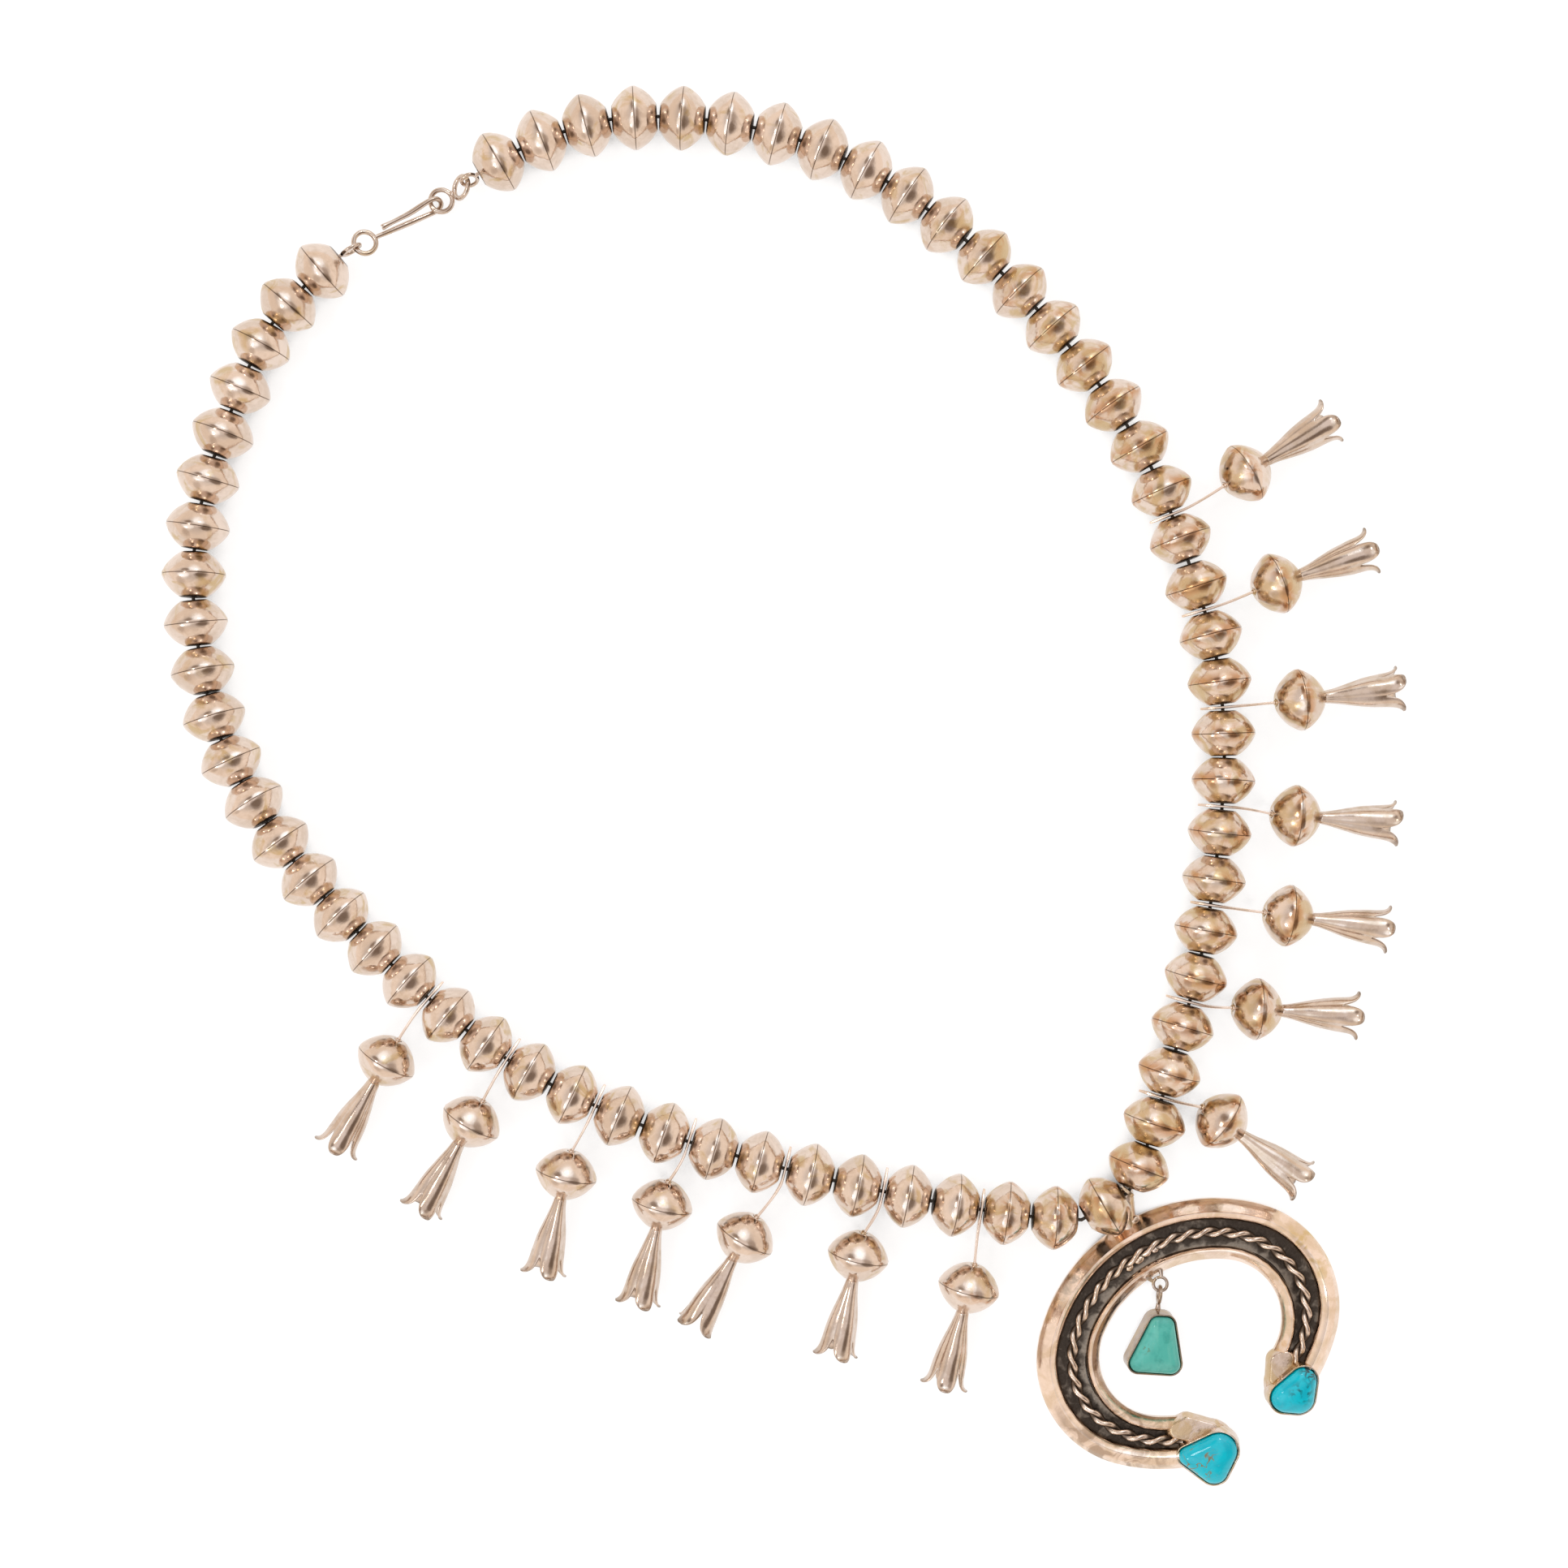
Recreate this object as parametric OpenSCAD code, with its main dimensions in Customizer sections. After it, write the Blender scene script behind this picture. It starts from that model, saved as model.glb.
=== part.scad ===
// Squash blossom necklace, lying flat and fastened, in millimetres.
// The string is a chosen route on the surface. Beads step along it end to end,
// and the blossoms, the crescent pendant and the clasp take their places from it.

/* [Bead string] */
// Beads on the whole string
bead_count = 65; // [62:1:68]
// Width of a bead across its seam
bead_d = 12.5; // [11.5:0.1:13]
// Length of a bead along the thread
bead_len = 8.9; // [8.6:0.1:9.5]
// Wall of a bead
bead_wall = 0.5; // [0.35:0.05:0.7]
// Thread hole of a bead
bead_bore = 1.6; // [1.3:0.1:2]
// Slope of the dome where it meets the seam
seam_slope = 71; // [69:0.5:73]
// Wear of the seam's edge
seam_wear = 0.12; // [0.08:0.02:0.2]
// Radius of the dome's long curve
dome_r = 8; // [7.6:0.1:9]
// Radius of the shoulder round the hole
shoulder_r = 1.2; // [1:0.1:1.4]
// Space between two plain beads
bead_gap = 0.6; // [0.6:0.05:0.8]
// Space between the two beads that turn the corner below the bail
corner_gap = 1.7; // [1.7:0.1:2]
// Thickness of the thread
thread_d = 0.7; // [0.4:0.05:0.9]
// Distance of the thread's ends inside the end beads
thread_in = 2.6; // [2.5:0.1:3.5]

/* [Blossoms] */
// Width of a blossom's bead
blossom_bead_d = 12.2; // [11.6:0.1:12.5]
// Length of a blossom's bead
blossom_bead_len = 9.5; // [9.2:0.1:9.8]
// Usual distance from the string to a blossom's bead
shank_reach = 15; // [14:0.5:17]
// Thickness of the flat shank
shank_t = 0.5; // [0.4:0.05:0.6]
// Width of the shank at the thread
shank_w = 3.8; // [3.2:0.1:4.4]
// Width of the shank at the bead
shank_tip_w = 1.4; // [1:0.1:2]
// Straight run of the shank beside the beads
shank_root = 4.6; // [4:0.1:5.4]
// Length of shank inside the loop
shank_tail = 4.8; // [4:0.1:5.2]
// Space beside a shank on the thread
shank_clear = 0.4; // [0.38:0.02:0.5]
// Length of the flower from its neck to its tips
flower_len = 15.8; // [13:0.1:17]
// Radius of the flower across its curled tips
flare_r = 4.3; // [3.4:0.1:4.6]
// Thickness of the petals
petal_t = 0.45; // [0.35:0.05:0.5]
// Depth of the crease between petals, as a share
petal_crease = 0.24; // [0.1:0.02:0.3]
// Radius of the solder between bead and flower
solder_r = 1.1; // [1:0.05:1.4]
// Radius of the vent hole inside the flower's neck
vent_r = 0.3; // [0.2:0.05:0.4]

/* [Crescent] */
// Half of the crescent's width
naja_a = 31.6; // [30:0.1:33]
// Half of the crescent's height
naja_b = 25.4; // [24.6:0.1:26.2]
// Radius of the crescent's outer sides
naja_side_r = 21; // [20:0.5:22]
// Half width of the opening inside
hollow_a = 19.2; // [18:0.1:20]
// Half height of the opening inside
hollow_b = 14.3; // [13.6:0.1:15]
// Radius of the opening's sides
hollow_side_r = 12; // [11.5:0.5:12.5]
// Drop of the opening's middle below the crescent's
hollow_drop = 1; // [0.5:0.1:1.5]
// Width of the outer rim
outer_rim_w = 4.2; // [3.6:0.1:4.6]
// Width of the inner rim
inner_rim_w = 2.7; // [2.2:0.1:3.2]
// Height of the outer rim's ridge
outer_rim_h = 3.4; // [2.8:0.1:4]
// Height of the inner rim's ridge
inner_rim_h = 3; // [2.5:0.1:3.6]
// Height of the rims' outside edges
rim_edge_h = 1; // [0.6:0.1:1.4]
// Place of the ridge across a rim, as a share of its width
ridge_share = 0.62; // [0.55:0.01:0.7]
// Height of the rims' walls above the channel's floor
rim_wall_h = 0.5; // [0.3:0.05:0.8]
// Thickness of the channel's floor
channel_t = 1.2; // [1.1:0.1:1.6]
// Wire of the twist in the channel
twist_wire = 1.15; // [0.9:0.05:1.3]
// Length of half a turn of the twist
twist_half = 3.6; // [3:0.1:4.5]
// Place of the left arm's end across the crescent
arm_left_x = -9.3; // [-11:0.1:-8]
// Place of the right arm's end across the crescent
arm_right_x = 12.6; // [11:0.1:14]
// Turn of the crescent on the surface
naja_turn = 31; // [20:1:40]

/* [Bail] */
// Thickness of the bail's tongue
bail_t = 0.8; // [0.6:0.1:1]
// Width of the bail's tongue
bail_w = 3; // [2.6:0.1:3.4]
// Radius of the bail's half round bar
bail_bar_r = 1.7; // [1.4:0.1:1.8]
// Height of the bar's middle above the surface
bail_bar_z = 0.9; // [0.7:0.1:1.1]
// Distance the bar is set in from the crescent's top edge
bail_root = 1.6; // [1.2:0.1:1.8]
// Space beside the tongue on the thread
bail_clear = 0.6; // [0.55:0.05:0.8]
// Rise of the thread hole above the crescent's top
bail_rise = 5.9; // [5.4:0.1:7]
// Shift of the thread hole to the crescent's right
bail_side = 4.1; // [3.5:0.1:4.5]

/* [Stones] */
// Wall of a bezel
bezel_t = 0.45; // [0.3:0.05:0.6]
// Space between a stone and its bezel
stone_clear = 0.12; // [0.08:0.02:0.2]
// Height of a tip bezel above its seat
tip_bezel_h = 1.7; // [1.2:0.1:2.2]
// Height of a tip seat above the surface
tip_seat_h = 2.2; // [1.9:0.1:2.4]
// Radius of the round plate below the left tip's stone
tip_plate_left_r = 5.9; // [5.4:0.1:6.2]
// Radius of the round plate below the right tip's stone
tip_plate_right_r = 5.6; // [5.2:0.1:6]
// Slope of a round plate's side, as a width
tip_plate_slope = 0.9; // [0.3:0.1:1.2]
// Upright edge of a stone
girdle_h = 1.5; // [1:0.1:2]
// Height of a tip stone's dome
dome_h = 2.3; // [1.6:0.1:3]
// Lean of the tip stones
tip_lean = 11; // [0:1:14]
// Lean of the drop
drop_lean = 13; // [0:1:16]

/* [Drop and link] */
// Outer width of the ring below the crescent's top
ring_d = 3.4; // [3.2:0.1:4]
// Wire of that ring
ring_wire = 0.65; // [0.5:0.05:0.75]
// Space bridged between the crescent and that ring
ring_leg = 0.2; // [0:0.1:0.5]
// Outer length of the drop's link
link_d = 4; // [3.8:0.1:4.6]
// Wire of the drop's link
link_wire = 0.8; // [0.6:0.05:0.85]
// Swing of the drop from the crescent's own middle line
drop_swing = -37; // [-45:1:-30]
// Height of the drop's bezel
drop_bezel_h = 3.4; // [2.6:0.1:4]
// Floor of the drop's bezel
drop_floor_t = 0.8; // [0.5:0.1:1]
// Distance from the link's middle to the drop's middle
drop_reach = 9.1; // [8.9:0.1:9.5]
// Thickness of the neck between link and bezel
drop_neck_d = 1.3; // [1.1:0.1:1.6]
// Height of the drop's middle above the surface
drop_z = 2.1; // [2.1:0.1:2.6]
// Height of the drop's dome
drop_dome_h = 1.8; // [1.2:0.1:2.4]

/* [Clasp] */
// Distance between the two end beads
clasp_len = 31.4; // [31:0.1:32]
// Wire of the hook and of the catch
clasp_wire = 1; // [0.9:0.05:1.05]
// Outer width of the eye and of the catch's rings
eye_d = 5.4; // [5.2:0.1:5.6]
// Outer width of the left end loop
loop_left_d = 4.8; // [4.6:0.1:5]
// Outer width of the right end loop
loop_right_d = 3.9; // [3.8:0.1:4.1]
// Length of an end loop's stem inside its bead
stem_in = 2; // [1.5:0.1:2.2]
// Wire of the end loops
loop_wire = 0.8; // [0.7:0.05:0.85]
// Space between two linked wires
link_clear = 0.16; // [0.12:0.02:0.2]
// Distance between the hook's two legs
hook_span = 3.4; // [3.3:0.05:3.5]
// Roll of the hook's plane about its long leg
hook_roll = 55; // [53:1:57]
// Length of the hook's short leg
hook_back = 10.5; // [8:0.5:11]
// Rise of the short leg's tip
hook_rise = 1.2; // [0.8:0.1:1.6]
// Ball at the short leg's tip
hook_ball_d = 1.35; // [1.2:0.05:1.6]
// Downward slope of the left end loop
loop_left_slope = 14; // [10:1:18]
// Downward slope of the right end loop
loop_right_slope = 25; // [20:1:30]
// Roll of the right end loop about the clasp's line
loop_right_roll = 56; // [50:1:62]
// Roll of the catch's raised ring about the clasp's line
catch_roll = -28; // [-34:1:-22]
// Lean of the catch's raised ring
catch_lean = 40; // [36:1:44]

/* [Hidden] */

// Blossoms on each side and beads from one blossom to the next
blossom_count = 7;
blossom_every = 2;

SILVER = "#c9b6a4";
WARM_SILVER = "#bfa78e";
THREAD_GREY = "#6b6258";
SKY_TURQUOISE = "#18b8d2";
GREEN_TURQUOISE = "#45b3a5";

// Chosen route of the string, clockwise from the clasp, seen from above
ROUTE = [
    [-60.2, 119.8], [-52, 124.6], [-34.5, 130.5], [-15.5, 130.5], [3, 126.5],
    [20, 118.5], [35.5, 107], [49.5, 93.5], [61.5, 79], [72, 62.5],
    [79.5, 43.5], [85, 24.5], [86.5, 5], [85, -14.5], [82, -33.5],
    [77, -52], [71.5, -70.5], [67.5, -80.5], [59, -85.5], [49, -85],
    [29.5, -82], [0, -75.5], [-28, -67], [-54.5, -54], [-76.5, -36],
    [-96, -15.5], [-110.5, 8.5], [-116, 36], [-114.5, 55], [-108.5, 73.5],
    [-100.5, 90.5], [-88, 103.2], [-74, 111.6]
];

// The string is looser in some stretches: first bead and share of the bead gap
GAP_SHARES = [[1, 1], [10, 1.35], [20, 0.76], [32, 1.05], [45, 0.78], [56, 1.05]];

// Each blossom: reach share, aim, bend of the flower and roll of its petals
RIGHT_ROWS = [
    [1.11, 8, 2, -10],
    [1.01, 4, -1, 0],
    [1.02, 1, 1, 22],
    [0.97, -3, 3, 22],
    [1.03, 1, 0, 4],
    [0.89, 9, 2, 0],
    [0.84, -5, -15, 25]
];
LEFT_ROWS = [
    [0.99, 7, 4, 5],
    [0.95, 3, 0, 22],
    [0.98, 1, 10, 22],
    [0.90, -5, 9, 22],
    [1.05, -16, 1, 45],
    [0.91, -9, 8, 22],
    [1.04, 0, -5, 0]
];

// Flower along its axis: share of length, share of the flare, share of a quarter turn
PETAL_ROWS = [
    [0.00, 0.21, 1.00],
    [0.12, 0.25, 1.00],
    [0.30, 0.39, 1.00],
    [0.48, 0.54, 1.00],
    [0.62, 0.62, 1.00],
    [0.74, 0.65, 0.94],
    [0.86, 0.69, 0.78],
    [0.95, 0.80, 0.56],
    [1.00, 1.00, 0.25]
];
SPLIT_ROW = 4;
PETALS = 4;
PETAL_STEPS = 4;

// Shank along its length: share of the way out, share of the width at the thread
SHANK_ROWS = [[-1.00, 0.34], [-0.75, 0.78], [-0.40, 1.00], [0.20, 1.00]];

// Stones: corners as centre x, centre y and radius, counter-clockwise
TIP_LEFT_CORNERS = [[-3.7, 0.3, 1.9], [1.3, -2.4, 2.7], [2.3, 1.7, 3.5]];
TIP_RIGHT_CORNERS = [[-1.5, -1.4, 3], [1.1, -1.7, 3], [1.8, 1.9, 2.7]];
DROP_CORNERS = [[-3.3, -4, 1.8], [3.3, -4, 1.8], [1.1, 4, 1.7], [-0.5, 4, 1.7]];

axis_z = bead_d / 2;
shank_gap = shank_t + 2 * shank_clear;
bail_gap = bail_t + 2 * bail_clear;
naja_after = floor(bead_count / 2);
mesh_fn = 64;

// Space on the thread after each bead
function is_shank(i) =
    let (back = naja_after - i, on = i - naja_after - 1)
    (back > 0 && back <= blossom_every * blossom_count && back % blossom_every == 0)
    || (on > 0 && on <= blossom_every * blossom_count && on % blossom_every == 0);
function stretch_share(i, k) =
    k == 0 || GAP_SHARES[k][0] <= i ? GAP_SHARES[k][1] : stretch_share(i, k - 1);
function gap_after(i) =
    i == naja_after ? bail_gap
    : i == naja_after + 1 ? corner_gap
    : is_shank(i) ? shank_gap
    : bead_gap * stretch_share(i, len(GAP_SHARES) - 1);
function step_of(i) = bead_len + gap_after(i - 1) / 2 + gap_after(i) / 2;

// Smooth closed curve through the chosen points
function mix(a, b, s, ta, tb) = (tb - s) / (tb - ta) * a + (s - ta) / (tb - ta) * b;
function curve_at(p, u) =
    let (
        t1 = sqrt(norm(p[1] - p[0])),
        t2 = t1 + sqrt(norm(p[2] - p[1])),
        t3 = t2 + sqrt(norm(p[3] - p[2])),
        s = t1 + u * (t2 - t1),
        a1 = mix(p[0], p[1], s, 0, t1),
        a2 = mix(p[1], p[2], s, t1, t2),
        a3 = mix(p[2], p[3], s, t2, t3),
        b1 = mix(a1, a2, s, 0, t2),
        b2 = mix(a2, a3, s, t1, t3)
    ) mix(b1, b2, s, t1, t2);
function route_point(i) = ROUTE[(i + len(ROUTE)) % len(ROUTE)];
SMOOTH = 10;
curve = [
    for (i = [0 : len(ROUTE)], k = [0 : SMOOTH - 1])
        curve_at([route_point(i - 1), route_point(i), route_point(i + 1), route_point(i + 2)], k / SMOOTH)
];
function run(p, i = 0, total = 0) =
    i >= len(ROUTE) * SMOOTH ? total : run(p, i + 1, total + norm(p[i + 1] - p[i]));
curve_len = run(curve);
string_len = bead_len * bead_count;
gaps_len =
    [for (i = [1 : bead_count - 1]) gap_after(i)] * [for (i = [1 : bead_count - 1]) 1];

// Beads step along the curve, each a straight length
function crossing(a, b, p, d) =
    let (e = b - a, f = a - p, qa = e * e, qb = 2 * f * e, qc = f * f - d * d)
    a + e * (-qb + sqrt(qb * qb - 4 * qa * qc)) / (2 * qa);
function next_joint(k, p, j, d) =
    norm(k * curve[j] - p) >= d
    ? [crossing(k * curve[j - 1], k * curve[j], p, d), j]
    : next_joint(k, p, j + 1, d);
function joints_at(k, i = 1, p = [0, 0], j = 1, found = []) =
    i > bead_count
    ? concat(found, [p])
    : let (n = next_joint(k, p, j, step_of(i)))
      joints_at(k, i + 1, n[0], n[1], concat(found, [p]));
function fitted(k, left) =
    left == 0
    ? k
    : let (j = joints_at(k, 1, k * curve[0]), miss = norm(j[bead_count] - j[0]) - clasp_len)
      fitted(k - miss / curve_len, left - 1);
route_k = fitted((string_len + gaps_len + clasp_len) / curve_len, 3);
raw_joints = joints_at(route_k, 1, route_k * curve[0]);

// The whole part is shifted so that its box stands on the origin
shift = [-0.07, 0.89];
joints = [for (j = raw_joints) j + shift];
function heading(i) = let (d = joints[i] - joints[i - 1]) atan2(d[1], d[0]);
function unit(a) = [cos(a), sin(a)];
function bead_middle(i) = joints[i - 1] + (gap_after(i - 1) / 2 + bead_len / 2) * unit(heading(i));
function thread_heading(i) = let (v = unit(heading(i)) + unit(heading(i + 1))) atan2(v[1], v[0]);

// Dome of a bead: long curve from the seam, then the shoulder
function dome_centre(r) = [r - dome_r * sin(seam_slope), -dome_r * cos(seam_slope)];
function shoulder_centre(r, h) =
    let (a = dome_centre(r), y = h - shoulder_r)
    [a[0] + sqrt(pow(dome_r - shoulder_r, 2) - pow(y - a[1], 2)), y];

function seam_half(r) =
    let (a = dome_centre(r + seam_wear)) a[1] + sqrt(pow(dome_r, 2) - pow(r - a[0], 2));

module dome_half(r, h, wall) {
    a = dome_centre(r + seam_wear);
    b = shoulder_centre(r + seam_wear, h);
    turn_y = a[1] + (dome_r - wall) * (b[1] - a[1]) / (dome_r - shoulder_r);
    intersection() {
        translate(a) circle(r = dome_r - wall, $fn = 180);
        square([r, turn_y]);
    }
    intersection() {
        translate(b) circle(r = shoulder_r - wall, $fn = 72);
        translate([0, turn_y]) square([r, h]);
    }
    square([b[0], h - wall]);
}

module dome_pair(r, h, wall) {
    dome_half(r, h, wall);
    mirror([0, 1]) dome_half(r, h, wall);
}

// Hollow bead with its thread hole along X
module drilled_bead(d, l) {
    rotate([0, 90, 0])
        rotate_extrude($fn = mesh_fn)
            difference() {
                dome_pair(d / 2, l / 2, 0);
                dome_pair(d / 2, l / 2, bead_wall);
                translate([0, -l]) square([bead_bore / 2, 2 * l]);
            }
}

module beads(first, last) {
    for (i = [first : last])
        translate([bead_middle(i)[0], bead_middle(i)[1], axis_z])
            rotate([0, 0, heading(i)])
                drilled_bead(bead_d, bead_len);
}

module bead_string_right() {
    color(SILVER) beads(1, naja_after + 1);
}

module bead_string_left() {
    color(SILVER) beads(naja_after + 2, bead_count);
}

// Thread: one straight stretch in each bead, ending inside the end beads
THREAD_SIDES = 6;
thread_line = concat(
    [joints[0] + thread_in * unit(heading(1))],
    [for (i = [1 : bead_count - 1]) joints[i]],
    [joints[bead_count] - thread_in * unit(heading(bead_count))]
);
thread_points = [
    for (i = [0 : len(thread_line) - 1], k = [0 : THREAD_SIDES - 1])
        let (
            p = thread_line[i],
            a = i == 0 ? heading(1) : i == bead_count ? heading(bead_count) : thread_heading(i),
            u = thread_d / 2 * cos(360 * k / THREAD_SIDES),
            v = thread_d / 2 * sin(360 * k / THREAD_SIDES)
        )
        [p[0] - u * sin(a), p[1] + u * cos(a), axis_z + v]
];

// Faces of a tube whose rings follow each other
function tube_faces(rings, sides) = concat(
    [[for (k = [0 : sides - 1]) k]],
    [
        for (i = [0 : rings - 2], k = [0 : sides - 1])
            let (a = i * sides + k, b = i * sides + (k + 1) % sides)
            each [[a, a + sides, b + sides], [a, b + sides, b]]
    ],
    [[for (k = [0 : sides - 1]) rings * sides - 1 - k]]
);

module thread() {
    color(THREAD_GREY)
        polyhedron(thread_points, tube_faces(len(thread_line), THREAD_SIDES), convexity = 10);
}

// Flower: four petals joined up to the split row, then free
TIP_ROOM = 0.15;
blossom_tilt = asin(
    (blossom_bead_d / 2 - flare_r - TIP_ROOM) / (blossom_bead_len / 2 + flower_len)
);
blossom_z =
    blossom_bead_d / 2 * cos(blossom_tilt) + seam_half(blossom_bead_d / 2) * sin(blossom_tilt);
last_row = len(PETAL_ROWS) - 1;
function flower_x(i) = PETAL_ROWS[i][0] * flower_len;
function flower_r(i) = PETAL_ROWS[i][1] * flare_r;
function flower_lean(i) =
    let (
        a = max(i - 1, 0),
        b = min(i + 1, last_row)
    ) atan2(flower_r(b) - flower_r(a), flower_x(b) - flower_x(a));
function flower_point(i, p, c, side) =
    let (
        share = (2 * c / PETAL_STEPS - 1) * PETAL_ROWS[i][2],
        a = (p + share / 2) * 360 / PETALS,
        off = side * petal_t / 2,
        lobe = 1 - petal_crease * (1 - cos(90 * share)),
        r = (flower_r(i) + off * cos(flower_lean(i))) * lobe
    )
    [flower_x(i) - off * sin(flower_lean(i)), r * sin(a), r * cos(a)];
ring_n = PETALS * PETAL_STEPS;
free_n = PETALS * (PETAL_STEPS + 1);
function flower_index(i, p, c, s) =
    i <= SPLIT_ROW
    ? (2 * i + s) * ring_n + (p * PETAL_STEPS + c) % ring_n
    : 2 * (SPLIT_ROW + 1) * ring_n + (2 * (i - SPLIT_ROW - 1) + s) * free_n
      + p * (PETAL_STEPS + 1) + c;
flower_points = concat(
    [
        for (i = [0 : SPLIT_ROW], s = [0, 1], p = [0 : PETALS - 1], c = [0 : PETAL_STEPS - 1])
            flower_point(i, p, c, 2 * s - 1)
    ],
    [
        for (i = [SPLIT_ROW + 1 : last_row], s = [0, 1], p = [0 : PETALS - 1], c = [0 : PETAL_STEPS])
            flower_point(i, p, c, 2 * s - 1)
    ]
);
function flower_quad(i, j, p, c, d, s, t) = [
    flower_index(i, p, c, s), flower_index(j, p, d, s),
    flower_index(j, p, d, t), flower_index(i, p, c, t)
];
flower_faces = concat(
    [
        for (i = [0 : last_row - 1], p = [0 : PETALS - 1], c = [0 : PETAL_STEPS - 1])
            [
                flower_index(i, p, c, 1), flower_index(i, p, c + 1, 1),
                flower_index(i + 1, p, c + 1, 1), flower_index(i + 1, p, c, 1)
            ]
    ],
    [
        for (i = [0 : last_row - 1], p = [0 : PETALS - 1], c = [0 : PETAL_STEPS - 1])
            [
                flower_index(i, p, c, 0), flower_index(i + 1, p, c, 0),
                flower_index(i + 1, p, c + 1, 0), flower_index(i, p, c + 1, 0)
            ]
    ],
    [
        for (p = [0 : PETALS - 1], c = [0 : PETAL_STEPS - 1])
            [
                flower_index(0, p, c, 0), flower_index(0, p, c + 1, 0),
                flower_index(0, p, c + 1, 1), flower_index(0, p, c, 1)
            ]
    ],
    [
        for (p = [0 : PETALS - 1], c = [0 : PETAL_STEPS - 1])
            [
                flower_index(last_row, p, c, 1), flower_index(last_row, p, c + 1, 1),
                flower_index(last_row, p, c + 1, 0), flower_index(last_row, p, c, 0)
            ]
    ],
    [
        for (i = [SPLIT_ROW : last_row - 1], p = [0 : PETALS - 1])
            [
                flower_index(i, p, 0, 0), flower_index(i, p, 0, 1),
                flower_index(i + 1, p, 0, 1), flower_index(i + 1, p, 0, 0)
            ]
    ],
    [
        for (i = [SPLIT_ROW : last_row - 1], p = [0 : PETALS - 1])
            [
                flower_index(i, p, PETAL_STEPS, 1), flower_index(i, p, PETAL_STEPS, 0),
                flower_index(i + 1, p, PETAL_STEPS, 0), flower_index(i + 1, p, PETAL_STEPS, 1)
            ]
    ]
);

module flower() {
    polyhedron(flower_points, flower_faces, convexity = 10);
}

// Shank: flat strip on edge, from inside the loop to the blossom's bead
SHANK_STEPS = 6;
function bend_point(a, c, e, u) =
    (1 - u) * (1 - u) * a + 2 * u * (1 - u) * c + u * u * e;
function shank_line(e, n, c) = concat(
    [-shank_tail * n, 0 * n],
    [for (k = [0 : SHANK_STEPS]) bend_point(0.5 * shank_root * n, c, e, k / SHANK_STEPS)]
);
function side_step(line, i) =
    let (
        d = line[min(i + 1, len(line) - 1)] - line[max(i - 1, 0)]
    ) [-d[1], d[0]] / norm(d) * shank_t / 2;

module shank(e, out, c, end_z) {
    line = shank_line(e, unit(out), c);
    n = len(line) - 1;
    widths = concat(
        [for (w = SHANK_ROWS) [(w[0] < 0 ? shank_tail : e[0]) * w[0], w[1] * shank_w / 2]],
        [[0.5 * e[0], 0.5 * (shank_w + shank_tip_w) / 2], [1.1 * e[0], shank_tip_w / 2]]
    );
    rise = (end_z - axis_z) / e[0];
    difference() {
        intersection() {
            linear_extrude(height = 2 * axis_z)
                polygon(concat(
                    [for (i = [0 : n]) line[i] + side_step(line, i)],
                    [for (i = [n : -1 : 0]) line[i] - side_step(line, i)]
                ));
            translate([0, e[0], 0])
                rotate([90, 0, 0])
                    linear_extrude(height = 2 * e[0])
                        polygon(concat(
                            [for (w = widths) [w[0], axis_z + rise * max(w[0], 0) + w[1]]],
                            [for (i = [len(widths) - 1 : -1 : 0])
                                [widths[i][0], axis_z + rise * max(widths[i][0], 0) - widths[i][1]]]
                        ));
        }
        translate([0, 0, axis_z])
            rotate([90, 0, out])
                cylinder(d = bead_bore, h = 4, center = true, $fn = 24);
    }
}

// Blossom with the string's thread at its origin and its bead along X
module blossom(row) {
    reach = row[0] * shank_reach;
    bend = row[2];
    half = blossom_bead_len / 2;
    near = half - bead_wall / 2;
    end = [reach, 0] - near * cos(blossom_tilt) * unit(bend);
    shank(end, -row[1], shank_root * unit(-row[1]), blossom_z + near * sin(blossom_tilt));
    translate([reach, 0, blossom_z])
        rotate([0, 0, bend])
            rotate([0, blossom_tilt, 0])
                difference() {
                    union() {
                        rotate([0, 90, 0])
                            rotate_extrude($fn = mesh_fn)
                                difference() {
                                    dome_pair(blossom_bead_d / 2, half, 0);
                                    dome_pair(blossom_bead_d / 2, half, bead_wall);
                                }
                        translate([half + solder_r / 3, 0, 0]) sphere(r = solder_r, $fn = 32);
                        translate([half, 0, 0]) rotate([row[3], 0, 0]) flower();
                    }
                    translate([half - 1, 0, 0])
                        rotate([0, 90, 0])
                            cylinder(r = vent_r, h = solder_r + 2.3, $fn = 24);
                }
}

module placed_blossom(row, i) {
    color(WARM_SILVER)
        translate([joints[i][0], joints[i][1], 0])
            rotate([0, 0, thread_heading(i) + 90 + row[1]])
                blossom(row);
}

module right_blossom(k) {
    placed_blossom(RIGHT_ROWS[k - 1], naja_after - blossom_every * (blossom_count + 1 - k));
}

module left_blossom(k) {
    placed_blossom(LEFT_ROWS[k - 1], naja_after + 1 + blossom_every * (blossom_count + 1 - k));
}

module blossom_r1() { right_blossom(1); }
module blossom_r2() { right_blossom(2); }
module blossom_r3() { right_blossom(3); }
module blossom_r4() { right_blossom(4); }
module blossom_r5() { right_blossom(5); }
module blossom_r6() { right_blossom(6); }
module blossom_r7() { right_blossom(7); }
module blossom_l1() { left_blossom(1); }
module blossom_l2() { left_blossom(2); }
module blossom_l3() { left_blossom(3); }
module blossom_l4() { left_blossom(4); }
module blossom_l5() { left_blossom(5); }
module blossom_l6() { left_blossom(6); }
module blossom_l7() { left_blossom(7); }

// Four-centred oval: side circles and the large circles that touch them inside
function oval_c(a, r) = a - r;
function oval_big(a, b, r) = (pow(a - r, 2) + b * b - r * r) / (2 * (b - r));
function oval_turn(a, b, r) = atan2(oval_big(a, b, r) - b, a - r);

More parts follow.
